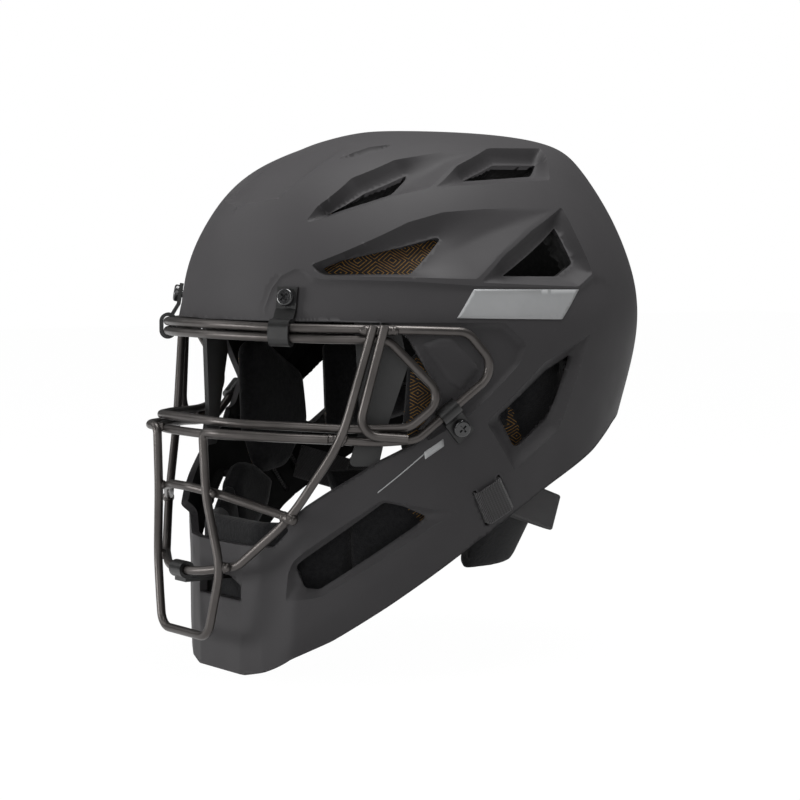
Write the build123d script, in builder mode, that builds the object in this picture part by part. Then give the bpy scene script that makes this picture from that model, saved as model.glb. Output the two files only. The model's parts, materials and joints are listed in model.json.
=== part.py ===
"""Catcher's helmet: a one-piece shell, a welded steel wire cage, foam, pads and a nape harness.

Frame: X to the wearer's left, Y to the back, Z up, millimetres.
The origin is the middle of the head space, level with the brow edge.
"""
from build123d import *
import math
import os

os.makedirs("parts", exist_ok=True)

# Shell
shell_height = 281.0
shell_width = 217.0
shell_length = 257.0
wall = 4.0
chin_reach = 117.0
chin_flat_width = 68.0
chin_bevel_width = 12.0
chin_bevel_depth = 5.0
chin_panel_width = 42.0
chin_panel_depth = 1.2
chin_slot_height = 12.0
chin_slot_width = 41.0
chin_slot_top_width = 20.0
panel_recess = 2.2
vent_depth = 6.5
jaw_vent_depth = 4.5
overrun = 60.0

# Lining
fit_gap = 0.4
liner_thickness = 12.0
pad_thickness = 9.0
pocket_depth = 3.0
soft_gap = 0.3
pad_seat_gap = 0.6
pad_trim = 1.5
brow_pad_height = 30.0
brow_pad_tilt = -17.0
rear_pad_height = 44.0
rear_pad_tilt = -4.0
ear_pad_corner = 8.0
jaw_pad_corner = 5.0
ear_pad_thickness = 13.0
ear_pad_standoff = 9.3
jaw_pad_thickness = 13.0
jaw_pad_standoff = 8.9
temple_plate_thickness = 2.5
temple_plate_standoff = 4.9
chin_pad_thickness = 13.0
chin_pad_height = 25.0
chin_pad_wing = 17.0

# Cage
wire_diameter = 4.5
wire_gap = 0.15
weld_gap = 0.15
bend_radius = 11.0
gentle_bend_radius = 88.0

# Clips and fasteners
clip_width = 11.0
clip_wall = 1.8
clip_play = 0.4
seat_gap = 0.15
hook_lip_height = 6.0
screw_diameter = 4.0
screw_head_diameter = 9.0
screw_head_height = 2.4
screw_recess_width = 1.0
screw_recess_depth = 1.2
screw_play = 0.15
nut_flange_diameter = 11.0
nut_flange_thickness = 1.4
nut_barrel_diameter = 6.4
nut_seat_gap = 0.6

# Webbing and nape harness
webbing_width = 19.0
webbing_thickness = 1.6
slot_play = 0.5
webbing_lift = 0.7
slot_spacing = 15.0
slot_lean = 30.0
nape_pad_height = 48.0
nape_pad_thickness = 11.0
nape_pad_lean = 25.0
nape_pad_wrap = 93.0
nape_radius = 62.0
hinge_gap = 0.3
strap_reach = 56.0
strap_drift = 19.0
strap_tilt = 18.0

half_length = shell_length / 2
half_width = shell_width / 2
wire_radius = wire_diameter / 2
layer = wire_diameter + wire_gap

# One row per level: height, half width, front, back and the bluntness of the nose
level_shares = (
    (-0.670, 0.800, -1.113, 0.765, 1.50),
    (-0.534, 0.853, -1.113, 0.802, 1.50),
    (-0.427, 0.889, -1.113, 0.825, 1.50),
    (-0.320, 0.926, -1.105, 0.848, 1.60),
    (-0.214, 0.959, -1.074, 0.883, 1.80),
    (-0.107, 0.986, -1.023, 0.949, 2.00),
    (0.000, 1.000, -0.977, 1.000, 2.10),
    (0.071, 0.972, -0.949, 1.000, 2.15),
    (0.142, 0.908, -0.911, 0.965, 2.15),
    (0.206, 0.816, -0.848, 0.914, 2.10),
    (0.260, 0.705, -0.757, 0.858, 2.10),
    (0.306, 0.576, -0.618, 0.800, 2.05),
    (0.342, 0.429, -0.420, 0.705, 2.00),
    (0.363, 0.250, -0.240, 0.470, 2.00),
    (0.3695, 0.080, -0.070, 0.190, 2.00),
)
middle_share = 0.48
back_bluntness = 2.15
ring_count = 18
pad_round_share = 0.45
draw_share = 0.35
brow_pad_level = 8
brow_pad_step = 4
rear_pad_level = 6
rear_pad_step = 15
chin_pad_level_share = -0.385
sewn_share = 0.40
nape_pad_level_share = -0.372


def level_normal(index):
    """Unit direction, sideways and up, square to the skin at a level in the front view."""
    low = level_shares[max(index - 1, 0)]
    high = level_shares[min(index + 1, len(level_shares) - 1)]
    run = (low[1] - high[1]) * half_width
    rise = (high[0] - low[0]) * shell_height
    length = math.hypot(run, rise)
    return rise / length, run / length


def level_sizes(index, inset):
    """Height, half width, front, back and bluntness of a level drawn in by inset."""
    height, width, front, back, bluntness = level_shares[index]
    sideways, up = level_normal(index)
    return (
        height * shell_height - inset * up,
        width * half_width - inset * sideways,
        front * half_length + inset * sideways,
        back * half_length - inset * sideways,
        bluntness,
    )


def ring_points(sizes):
    """Left half of a level, front to back: two quarter superellipses that meet at the widest place."""
    height, width, front, back, bluntness = sizes
    middle = back - middle_share * (back - front)
    points = []
    for step in range(ring_count + 1):
        angle = math.pi * (step / ring_count - 1 / 2)
        power = 2 / (back_bluntness if angle > 0 else bluntness)
        reach = back - middle if angle > 0 else middle - front
        across = abs(math.cos(angle)) ** power
        along = math.copysign(abs(math.sin(angle)) ** power, angle)
        points.append((width * across, middle + reach * along))
    points[0] = (0, front)
    points[-1] = (0, back)
    return points


def skin_form(inset):
    """Left half of the closed form inside the outer skin, drawn in by inset."""
    with BuildPart() as form:
        for index in range(len(level_shares)):
            sizes = level_sizes(index, inset)
            points = ring_points(sizes)
            with BuildSketch(Plane.XY.offset(sizes[0])):
                with BuildLine():
                    Spline(*points)
                    Line(points[-1], points[0])
                make_face()
        loft()
    return form.part


def skin_across(along, height):
    """Distance of the outer skin from the middle plane at a place of the side view."""
    index = 0
    while level_shares[index + 1][0] * shell_height < height and index < len(level_shares) - 2:
        index += 1
    low = level_sizes(index, 0)
    high = level_sizes(index + 1, 0)
    part = (height - low[0]) / (high[0] - low[0])
    width, front, back, bluntness = [low[k] + part * (high[k] - low[k]) for k in range(1, 5)]
    middle = back - middle_share * (back - front)
    reach = back - middle if along > middle else middle - front
    power = back_bluntness if along > middle else bluntness
    share = min(abs(along - middle) / reach, 1)
    return width * (1 - share**power) ** (1 / power)


def side_points(shares):
    """Places of the side view, Y and Z, from shares of the half length and the height."""
    return [(along * half_length, height * shell_height) for along, height in shares]


def skin_points(shares):
    """Points on the left outer skin under places of the side view."""
    return [Vector(skin_across(along, height), along, height) for along, height in side_points(shares)]


def side_prism(shares, start, amount):
    """Side view outline pulled along X from start by amount."""
    with BuildPart() as prism:
        with BuildSketch(Plane.YZ.offset(start)):
            with BuildLine():
                Polyline(*side_points(shares), close=True)
            make_face()
        extrude(amount=amount)
    return prism.part


def skin_plane(points):
    """Plane through the middle of skin points, facing out, its X axis level."""
    middle = sum(points, Vector(0, 0, 0)) / len(points)
    normal = Vector(0, 0, 0)
    for here, there in zip(points, points[1:] + points[:1]):
        normal += (here - middle).cross(there - middle)
    if normal.X < 0:
        normal = -normal
    level = Vector(0, 0, 1).cross(normal)
    return Plane(origin=middle, x_dir=level, z_dir=normal)


def local_outline(plane, points):
    """Points in the plane's own two directions."""
    return [(plane.to_local_coords(point).X, plane.to_local_coords(point).Y) for point in points]


def grown(outline, amount):
    """Outline with each point moved away from the middle by amount."""
    middle_x = sum(x for x, y in outline) / len(outline)
    middle_y = sum(y for x, y in outline) / len(outline)
    moved = []
    for x, y in outline:
        span = math.hypot(x - middle_x, y - middle_y)
        scale = (span + amount) / span
        moved.append((middle_x + (x - middle_x) * scale, middle_y + (y - middle_y) * scale))
    return moved


def funnel(plane, mouth, throat, depth, above, growth, tail):
    """Tapered form from a mouth outline down to a throat outline, with a straight tail."""
    rise = above / depth
    top = [(a[0] + (a[0] - b[0]) * rise, a[1] + (a[1] - b[1]) * rise) for a, b in zip(mouth, throat)]
    with BuildPart() as form:
        for outline, height in ((top, above), (throat, -depth)):
            with BuildSketch(plane.offset(height)):
                with BuildLine():
                    Polyline(*grown(outline, growth), close=True)
                make_face()
        loft(ruled=True)
        if tail:
            with BuildSketch(plane.offset(-depth)):
                with BuildLine():
                    Polyline(*grown(throat, growth), close=True)
                make_face()
            extrude(amount=-tail)
    return form.part


# Vents in the side view: the mouth on the skin and the smaller hole under it, point by point
vent_shares = {
    "front_scoop": (
        ((-0.755, 0.196), (-0.607, 0.253), (-0.249, 0.313), (-0.397, 0.238), (-0.560, 0.219)),
        ((-0.685, 0.206), (-0.560, 0.238), (-0.335, 0.281), (-0.436, 0.246), (-0.553, 0.228)),
    ),
    "top_rear": (
        ((-0.257, 0.256), (0.062, 0.324), (0.428, 0.328), (0.319, 0.272), (0.031, 0.265)),
        ((-0.125, 0.270), (0.078, 0.310), (0.296, 0.313), (0.241, 0.285), (0.070, 0.278)),
    ),
    "side_front": (
        (
            (-0.802, 0.117), (-0.708, 0.149), (-0.311, 0.203),
            (-0.200, 0.190), (-0.436, 0.093), (-0.747, 0.096),
        ),
        (
            (-0.747, 0.114), (-0.677, 0.128), (-0.335, 0.171),
            (-0.319, 0.164), (-0.467, 0.103), (-0.732, 0.107),
        ),
    ),
    "rear_triangle": (
        ((-0.218, 0.091), (0.311, 0.221), (0.389, 0.103), (0.280, 0.082)),
        ((-0.101, 0.103), (0.226, 0.189), (0.265, 0.121), (0.171, 0.100)),
    ),
    "ear": (
        ((0.327, -0.007), (0.187, -0.181), (-0.039, -0.249), (-0.187, -0.157), (0.074, -0.060)),
        ((0.210, -0.043), (0.101, -0.160), (-0.039, -0.206), (-0.132, -0.149), (0.086, -0.068)),
    ),
    "jaw": (
        ((-0.864, -0.434), (-0.837, -0.399), (-0.568, -0.294), (-0.490, -0.294),
         (-0.335, -0.315), (-0.397, -0.349), (-0.732, -0.475), (-0.856, -0.484)),
        ((-0.833, -0.420), (-0.809, -0.399), (-0.560, -0.302), (-0.514, -0.302),
         (-0.389, -0.327), (-0.428, -0.343), (-0.732, -0.459), (-0.786, -0.463)),
    ),
}
vent_depths = {name: vent_depth for name in vent_shares}
vent_depths["jaw"] = jaw_vent_depth


def vent_form(name, growth=0.0, extra_depth=0.0, tail=0.0):
    """Tapered form of one left vent, grown all round and made deeper when asked."""
    mouth_shares, throat_shares = vent_shares[name]
    mouth_points = skin_points(mouth_shares)
    plane = skin_plane(mouth_points)
    mouth = local_outline(plane, mouth_points)
    throat = local_outline(plane, skin_points(throat_shares))
    depth = vent_depths[name] + extra_depth
    return funnel(plane, mouth, throat, depth, 3 * wall, growth, tail)


# Outlines and levels of the side view
chin_top_share = -0.380
chin_slot_share = -0.445
face_shares = (
    (-1.250, 0.023), (-0.739, 0.023), (-0.560, 0.0195), (-0.498, -0.007), (-0.366, -0.114),
    (-0.467, -0.196), (-0.584, -0.226), (-0.747, -0.285), (-0.809, -0.311), (-0.930, -0.385),
    (-1.250, -0.387),
)
under_shares = (
    (-1.250, -0.628), (-0.918, -0.626), (-0.856, -0.596), (-0.693, -0.552), (-0.506, -0.491),
    (-0.171, -0.377),
    (0.210, -0.281), (0.436, -0.228), (0.615, -0.181), (0.778, -0.160), (1.250, -0.153), (1.250, -0.800),
    (-1.250, -0.800),
)
panel_shares = (
    (-0.600, 0.0215), (-0.117, 0.018), (-0.016, -0.021), (-0.047, -0.057), (-0.257, -0.146), (-0.420, -0.190),
)

# Screw places on the left skin in the side view
brow_screw_share = (-0.842, 0.062)
side_screw_share = (-0.297, -0.167)
# Middle of the webbing loop between its two slots
slot_share = (-0.128, -0.302)


def both_sides(half):
    """Left half and its mirror image as one solid."""
    with BuildPart() as whole:
        add(half)
        mirror(about=Plane.YZ)
    return whole.part


def saved(name, part):
    """Label a finished piece and write its STEP file."""
    part.label = name
    export_step(part, f"parts/{name}.step")


def saved_pair(name, part):
    """Write a left piece and its mirror image for the right side."""
    saved(f"{name}_left", part)
    saved(f"{name}_right", mirror(part, about=Plane.YZ))


def round_bar(plane, radius, start, length):
    """Round bar square to a plane, from a height above it down by length."""
    with BuildPart() as bar:
        with BuildSketch(plane.offset(start)):
            Circle(radius)
        extrude(amount=-length)
    return bar.part


def chin_room():
    """Everything in front of the flat chin and its bevelled corners, left half."""
    flat_half = chin_flat_width / 2
    bevel_back = chin_bevel_depth * (half_width - flat_half) / chin_bevel_width
    with BuildPart() as room:
        with BuildSketch(Plane.XY.offset(chin_top_share * shell_height)):
            with BuildLine():
                Polyline(
                    (0, -chin_reach),
                    (flat_half, -chin_reach),
                    (half_width, -chin_reach + bevel_back),
                    (half_width, -chin_reach - overrun),
                    (0, -chin_reach - overrun),
                    close=True,
                )
            make_face()
        extrude(amount=-shell_height)
    return room.part


outer_skin = skin_form(0)
inner_skin = skin_form(wall)


def skin_spot(share):
    """Plane on the left skin at one place of the side view, facing out, its X axis level."""
    along, height = side_points([share])[0]
    hits = outer_skin.find_intersection_points(Axis((0, along, height), (1, 0, 0)))
    place, normal = max(hits, key=lambda hit: hit[0].X)
    if normal.X < 0:
        normal = -normal
    return Plane(origin=place, x_dir=Vector(0, 0, 1).cross(normal), z_dir=normal)


def turned(plane, angle):
    """The same plane with its X axis turned in it by an angle."""
    lean = math.radians(angle)
    x_dir = plane.x_dir * math.cos(lean) + plane.y_dir * math.sin(lean)
    return Plane(origin=plane.origin, x_dir=x_dir, z_dir=plane.z_dir)


screw_planes = {"brow": skin_spot(brow_screw_share), "side": skin_spot(side_screw_share)}
slot_plane = turned(skin_spot(slot_share), slot_lean)
slot_width = webbing_thickness + 2 * slot_play
slot_length = webbing_width + slot_width
port_prism = side_prism(face_shares, -overrun, half_width + 2 * overrun)
under_prism = side_prism(under_shares, -overrun, half_width + 2 * overrun)

# Room inside the shell: the inner skin less the housings round the vents, square behind the chin
with BuildPart() as shell_room:
    add(inner_skin)
    for vent in vent_shares:
        add(vent_form(vent, growth=wall, extra_depth=wall / 2), mode=Mode.SUBTRACT)
    with BuildSketch(Plane.XY.offset(chin_top_share * shell_height)):
        with Locations((half_width / 2, -chin_reach - overrun / 2 + wall)):
            Rectangle(shell_width, overrun)
    extrude(amount=-shell_height, mode=Mode.SUBTRACT)

with BuildPart() as sunken_panel:
    add(side_prism(panel_shares, 0, half_width + overrun))
    add(skin_form(panel_recess), mode=Mode.SUBTRACT)

with BuildPart() as shell_half:
    add(outer_skin)
    add(shell_room.part, mode=Mode.SUBTRACT)
    add(port_prism, mode=Mode.SUBTRACT)
    add(under_prism, mode=Mode.SUBTRACT)
    add(chin_room(), mode=Mode.SUBTRACT)
    add(sunken_panel.part, mode=Mode.SUBTRACT)
    for vent in vent_shares:
        add(vent_form(vent, tail=3 * wall), mode=Mode.SUBTRACT)
    # Sunken middle of the chin
    with BuildSketch(Plane.XZ.offset(chin_reach + chin_panel_depth)):
        with Locations((0, -shell_height + chin_slot_share * shell_height)):
            Rectangle(chin_panel_width, 2 * shell_height)
    extrude(amount=-2 * chin_panel_depth, mode=Mode.SUBTRACT)
    # Air slot through it
    slot_top = chin_slot_share * shell_height
    with BuildSketch(Plane.XZ.offset(chin_reach + overrun)):
        with BuildLine():
            Polyline(
                (-chin_slot_top_width / 2, slot_top),
                (chin_slot_top_width / 2, slot_top),
                (chin_slot_width / 2, slot_top - chin_slot_height / 3),
                (chin_slot_width / 2, slot_top - chin_slot_height),
                (-chin_slot_width / 2, slot_top - chin_slot_height),
                (-chin_slot_width / 2, slot_top - chin_slot_height / 3),
                close=True,
            )
        make_face()
    extrude(amount=-2 * overrun, mode=Mode.SUBTRACT)
    for plane in screw_planes.values():
        add(round_bar(plane, nut_barrel_diameter / 2 + screw_play, wall, 3 * wall), mode=Mode.SUBTRACT)
    with BuildSketch(slot_plane.offset(wall)):
        with Locations((-slot_spacing / 2, 0), (slot_spacing / 2, 0)):
            SlotOverall(slot_length, slot_width, rotation=90)
    extrude(amount=-3 * wall, mode=Mode.SUBTRACT)
shell = both_sides(shell_half.part)
saved("shell", shell)

# Cage: every wire is a row of places on the cage's inner surface, from the middle or an end,
# as shares of half width, half length and height; each wire lies some layers outside it
wire_shares = {
    "outer_loop": (
        (0.127, -1.006, 0.0142), (0.272, -0.975, 0.0135), (0.498, -0.889, 0.0107),
        (0.688, -0.757, 0.0100), (0.886, -0.519, 0.0078), (0.980, -0.298, 0.0036),
        (1.003, -0.168, -0.0641), (0.876, -0.469, -0.1851), (0.777, -0.595, -0.1904),
        (0.696, -0.706, -0.1865), (0.543, -0.848, -0.1836), (0.381, -0.972, -0.1815),
        (0.254, -1.030, -0.1815), (0.091, -1.045, -0.1815),
    ),
    "inner_loop": (
        (0.127, -1.006, -0.0036), (0.272, -0.975, -0.0046), (0.498, -0.889, -0.0064),
        (0.688, -0.757, -0.0082), (0.841, -0.580, -0.0089), (0.949, -0.385, -0.1121),
        (0.877, -0.504, -0.1637), (0.777, -0.595, -0.1665), (0.696, -0.706, -0.1662),
        (0.543, -0.848, -0.1623), (0.381, -0.972, -0.1601), (0.254, -1.030, -0.1573),
        (0.091, -1.045, -0.1555),
    ),
    "long_strut": (
        (0.810, -0.621, 0.0160), (0.705, -0.702, -0.1851), (0.527, -0.828, -0.3256),
        (0.315, -0.944, -0.4146), (0.166, -1.009, -0.4270), (0.079, -1.032, -0.4306),
    ),
    "short_strut": (
        (0.842, -0.592, 0.0160), (0.745, -0.658, -0.1762), (0.874, -0.508, -0.1822),
    ),
    "front_wire": (
        (0.668, -0.739, -0.1833), (0.556, -0.846, -0.1815), (0.394, -0.974, -0.1779),
        (0.281, -1.032, -0.1762), (0.202, -1.038, -0.1762), (0.209, -1.029, -0.2883),
        (0.277, -1.002, -0.4192), (0.237, -1.013, -0.4897), (0.203, -1.021, -0.5459),
    ),
    "cross_wire": (
        (0.073, -1.069, -0.2783), (0.236, -1.018, -0.2872), (0.548, -0.860, -0.3256),
    ),
}
gentle_turn = 30
fillet_share = 0.45


def wire_places(name, layers):
    """Corner points of one wire, pushed out from the upright axis of the head."""
    reach = wire_radius + layers * layer
    places = []
    for across, along, height in wire_shares[name]:
        x, y = across * half_width, along * half_length
        out = 1 + reach / math.hypot(x, y)
        places.append(Vector(x * out, y * out, height * shell_height))
    return places


def on_middle(place):
    """The same place moved level onto the middle plane."""
    return Vector(0, place.Y, place.Z)


def bend_radii(places):
    """Radius for each inner corner: as cage wire is bent, and wide where it turns little."""
    radii = []
    for before, here, after in zip(places, places[1:], places[2:]):
        turn = (here - before).get_angle(after - here)
        room = fillet_share * min((here - before).length, (after - here).length)
        widest = gentle_bend_radius if turn < gentle_turn else bend_radius
        radii.append(min(widest, room / math.tan(math.radians(turn / 2))))
    return radii


def wire_line(places):
    """Centre line of a wire: straight runs joined by tangent bends."""
    return FilletPolyline(*places, radius=bend_radii(places))


def nearest_on(line, place):
    """Point and direction of a line where it passes nearest to a place."""
    spots = [step / 400 for step in range(401)]
    spot = min(spots, key=lambda share: (line @ share - place).length)
    return line @ spot, line % spot


def wire_part(places, whole):
    """Round wire along its places; a whole wire carries on over the middle plane."""
    with BuildPart() as wire:
        with BuildLine() as path:
            wire_line(places)
        with BuildSketch(Plane(origin=path.line @ 0, z_dir=path.line % 0)):
            Circle(wire_radius)
        sweep()
        if whole:
            mirror(about=Plane.YZ)
    return wire.part


outer_loop = wire_places("outer_loop", 0)
outer_loop = [on_middle(outer_loop[0])] + outer_loop + [on_middle(outer_loop[-1])]
inner_loop = wire_places("inner_loop", 0)
inner_loop = [on_middle(inner_loop[0])] + inner_loop + [on_middle(inner_loop[-1])]
long_strut = wire_places("long_strut", 1)
long_strut.append(on_middle(long_strut[-1]))
short_strut = wire_places("short_strut", 1)
front_wire = wire_places("front_wire", 1)
front_wire.append(on_middle(front_wire[-1]))
cross_wire = wire_places("cross_wire", 0)
cross_wire = [on_middle(cross_wire[0])] + cross_wire

# The cross wire butts against the bend of the long strut
strut_bend, strut_along = nearest_on(wire_line(long_strut), cross_wire[-1])
cross_along = (strut_bend - cross_wire[-2]).normalized()
slant = abs(cross_along.dot(strut_along))
cross_wire[-1] = strut_bend - cross_along * (wire_radius * (1 + slant) / math.sqrt(1 - slant**2) + weld_gap)

wire_parts = {
    "cage_outer_loop": wire_part(outer_loop, True),
    "cage_inner_loop": wire_part(inner_loop, True),
    "cage_long_strut": wire_part(long_strut, True),
    "cage_front_wire": wire_part(front_wire, True),
    "cage_cross_wire": wire_part(cross_wire, True),
}
for name, part in wire_parts.items():
    saved(name, part)
saved_pair("cage_short_strut", wire_part(short_strut, False))


# Clips, screws and nuts
def clip_part(screw_plane, lines):
    """Plastic strap: a ring round one or two wires and a flat tab under the screw."""
    seat = screw_plane.offset(seat_gap + clip_wall / 2)
    feet = [nearest_on(line, screw_plane.origin)[0] for line in lines]
    along = nearest_on(lines[0], screw_plane.origin)[1]
    along -= screw_plane.z_dir * along.dot(screw_plane.z_dir)
    up = screw_plane.z_dir.cross(along).normalized()
    if up.dot(screw_plane.origin - feet[0]) < 0:
        up = -up
    profile = Plane(origin=feet[0], x_dir=up, z_dir=along)
    top, knee = seat.origin + up * clip_width / 2, seat.origin - up * clip_width / 2
    top, knee, first, last = local_outline(profile, [top, knee, feet[0], feet[-1]])
    bore = 2 * (wire_radius + clip_play)
    spread = math.hypot(last[0] - first[0], last[1] - first[1])
    lean = math.degrees(math.atan2(last[1] - first[1], last[0] - first[0]))
    between = ((first[0] + last[0]) / 2, (first[1] + last[1]) / 2)
    with BuildPart() as clip:
        with BuildSketch(profile) as outline:
            with BuildLine():
                Polyline(top, knee, first)
            trace(line_width=clip_wall)
            for size, how in ((bore + 2 * clip_wall, Mode.ADD), (bore, Mode.SUBTRACT)):
                with Locations(between):
                    if spread > wire_radius:
                        SlotCenterToCenter(spread, size, rotation=lean, mode=how)
                    else:
                        Circle(size / 2, mode=how)
        extrude(amount=clip_width / 2, both=True)
        with BuildSketch(screw_plane.offset(-clip_wall)):
            Circle(screw_diameter / 2 + screw_play)
        extrude(amount=3 * clip_wall, mode=Mode.SUBTRACT)
    return clip.part


def screw_part(plane):
    """Pan-head screw with a cross recess, seated on the clip's tab."""
    under_head = seat_gap + clip_wall + screw_play
    reach = wall + nut_seat_gap + nut_flange_thickness
    with BuildPart() as screw:
        with BuildSketch(plane.offset(under_head)):
            Circle(screw_head_diameter / 2)
        extrude(amount=screw_head_height)
        fillet(screw.edges().sort_by(Axis(plane.origin, plane.z_dir))[-1], screw_head_height / 2)
        with BuildSketch(plane.offset(under_head)):
            Circle(screw_diameter / 2)
        extrude(amount=-under_head - reach)
        with BuildSketch(plane.offset(under_head + screw_head_height)):
            Rectangle(screw_head_diameter / 2, screw_recess_width, rotation=45)
            Rectangle(screw_head_diameter / 2, screw_recess_width, rotation=-45)
        extrude(amount=-screw_recess_depth, mode=Mode.SUBTRACT)
    return screw.part


def nut_part(plane):
    """T-nut: a flange inside the shell and a barrel through its wall."""
    with BuildPart() as nut:
        with BuildSketch(plane.offset(-wall - nut_seat_gap)):
            Circle(nut_flange_diameter / 2)
        extrude(amount=-nut_flange_thickness)
        with BuildSketch(plane.offset(-wall - nut_seat_gap)):
            Circle(nut_barrel_diameter / 2)
        extrude(amount=wall)
        with BuildSketch(plane):
            Circle(screw_diameter / 2 + screw_play)
        extrude(amount=-shell_width / 2, mode=Mode.SUBTRACT)
    return nut.part


def both_copies(parts):
    """One node of separate solids: left pieces and their mirror images."""
    copies = list(parts) + [mirror(part, about=Plane.YZ) for part in parts]
    return Compound([solid for part in copies for solid in part.solids()])


outer_line, inner_line = wire_line(outer_loop), wire_line(inner_loop)
saved_pair("brow_clip", clip_part(screw_planes["brow"], [outer_line, inner_line]))
saved_pair("side_clip", clip_part(screw_planes["side"], [outer_line]))
saved("clip_screws", both_copies([screw_part(plane) for plane in screw_planes.values()]))
saved("clip_nuts", both_copies([nut_part(plane) for plane in screw_planes.values()]))

# Hook that holds the lowest cross wire in the chin slot, drawn in the side view
hook_wire = long_strut[-1]
hook_arm = chin_slot_share * shell_height - fit_gap - clip_wall / 2
hook_lip = -chin_reach + wall + fit_gap + clip_wall / 2
with BuildPart() as chin_clip:
    with BuildSketch(Plane.YZ):
        with BuildLine():
            Polyline(
                (hook_wire.Y, hook_wire.Z),
                (hook_wire.Y, hook_arm),
                (hook_lip, hook_arm),
                (hook_lip, hook_arm + hook_lip_height),
            )
        trace(line_width=clip_wall)
        with Locations((hook_wire.Y, hook_wire.Z)):
            Circle(wire_radius + clip_play + clip_wall)
            Circle(wire_radius + clip_play, mode=Mode.SUBTRACT)
    extrude(amount=clip_width / 2, both=True)
saved("chin_clip", chin_clip.part)

# Foam liner, left half: a band inside the shell, pocketed at the vent housings and the brow nuts
liner_outer = wall + fit_gap
liner_inner = liner_outer + liner_thickness
liner_cut_shares = (
    (-1.250, 0.043), (-0.311, 0.043), (0.156, 0.000), (0.467, -0.142), (1.250, -0.142),
    (1.250, -0.800), (-1.250, -0.800),
)
open_vents = ("front_scoop", "top_rear", "rear_triangle")
with BuildPart() as liner_half:
    add(skin_form(liner_outer))
    add(skin_form(liner_inner), mode=Mode.SUBTRACT)
    add(side_prism(liner_cut_shares, -overrun, half_width + 2 * overrun), mode=Mode.SUBTRACT)
    for vent in open_vents + ("side_front", "ear"):
        tail = 2 * liner_thickness if vent in open_vents else 0
        add(vent_form(vent, liner_outer, wall / 2 + fit_gap, tail), mode=Mode.SUBTRACT)
    pocket = round_bar(screw_planes["brow"], nut_flange_diameter / 2 + fit_gap, 0, liner_outer + pocket_depth)
    add(pocket, mode=Mode.SUBTRACT)
saved("liner", both_sides(liner_half.part))

# Comfort pads under the liner: bands swept round the head and trimmed to the liner's inside
head_room = skin_form(liner_inner + pad_seat_gap)
pad_depth = liner_inner + pad_seat_gap + pad_thickness / 2 - pad_trim


def band_pad(index, step, height, tilt):
    """Rounded band on a round arc through the middle of a level and one of its steps."""
    sizes = level_sizes(index, pad_depth)
    points = ring_points(sizes)
    middle = points[0] if step < ring_count / 2 else points[-1]
    across, along = points[step][0], points[step][1] - middle[1]
    radius = (across**2 + along**2) / (2 * abs(along))
    turn = math.degrees(math.asin(across / radius))
    front = along > 0
    centre = (0, middle[1] + math.copysign(radius, along))
    with BuildPart() as pad:
        with BuildLine(Plane.XY.offset(sizes[0])) as path:
            CenterArc(centre, radius, -90 if front else 90, turn if front else -turn)
        with BuildSketch(Plane(path.line @ 0, x_dir=(0, 1, 0), z_dir=(1, 0, 0))):
            RectangleRounded(pad_thickness, height, pad_thickness * pad_round_share, rotation=tilt)
        sweep()
        add(head_room, mode=Mode.INTERSECT)
        mirror(about=Plane.YZ)
    return pad.part


saved("brow_pad", band_pad(brow_pad_level, brow_pad_step, brow_pad_height, brow_pad_tilt))
saved("rear_pad", band_pad(rear_pad_level, rear_pad_step, rear_pad_height, rear_pad_tilt))


def pillow(shares, standoff, thickness, corner):
    """Cushion under the skin: a full outline in its middle plane, drawn in at both faces."""
    points = skin_points(shares)
    plane = skin_plane(points)
    outline = local_outline(plane, points)
    with BuildPart() as cushion:
        for share, draw in ((0, 1), (0.25, 0.3), (0.5, 0), (0.75, 0.3), (1, 1)):
            with BuildSketch(plane.offset(-standoff - share * thickness)) as face:
                with BuildLine():
                    Polyline(*grown(outline, -draw * thickness * draw_share), close=True)
                make_face()
                fillet(face.vertices(), corner)
        loft()
    return cushion.part


def plate(shares, standoff, thickness, corner):
    """Flat plate under the skin with rounded corners."""
    points = skin_points(shares)
    plane = skin_plane(points)
    with BuildPart() as flat:
        with BuildSketch(plane.offset(-standoff)) as face:
            with BuildLine():
                Polyline(*local_outline(plane, points), close=True)
            make_face()
            fillet(face.vertices(), corner)
        extrude(amount=-thickness)
    return flat.part


ear_pad_shares = (
    (-0.466, -0.040), (-0.350, -0.028), (-0.093, -0.107), (-0.078, -0.213), (-0.233, -0.300),
    (-0.400, -0.308), (-0.480, -0.213),
)
jaw_pad_shares = (
    (-0.720, -0.352), (-0.560, -0.296), (-0.415, -0.330), (-0.640, -0.470), (-0.720, -0.470),
)
temple_plate_shares = (
    (-0.669, 0.036), (-0.530, 0.036), (-0.498, -0.057), (-0.560, -0.157), (-0.585, -0.235),
    (-0.685, -0.235), (-0.654, -0.167),
)
saved_pair("ear_pad", pillow(ear_pad_shares, ear_pad_standoff, ear_pad_thickness, ear_pad_corner))
saved_pair("jaw_pad", pillow(jaw_pad_shares, jaw_pad_standoff, jaw_pad_thickness, jaw_pad_corner))
saved_pair("temple_plate", plate(temple_plate_shares, temple_plate_standoff, temple_plate_thickness,
                                 temple_plate_thickness))

# Crown pad: a lens that fills the top of the dome down to a level plane
crown_top = level_sizes(len(level_shares) - 1, liner_inner + pad_seat_gap)[0]
crown_pad_plane = Plane.XY.offset(crown_top - pad_thickness)
with BuildPart() as crown_half:
    add(head_room)
    split(bisect_by=crown_pad_plane, keep=Keep.TOP)
saved("crown_pad", both_sides(crown_half.part))

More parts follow.
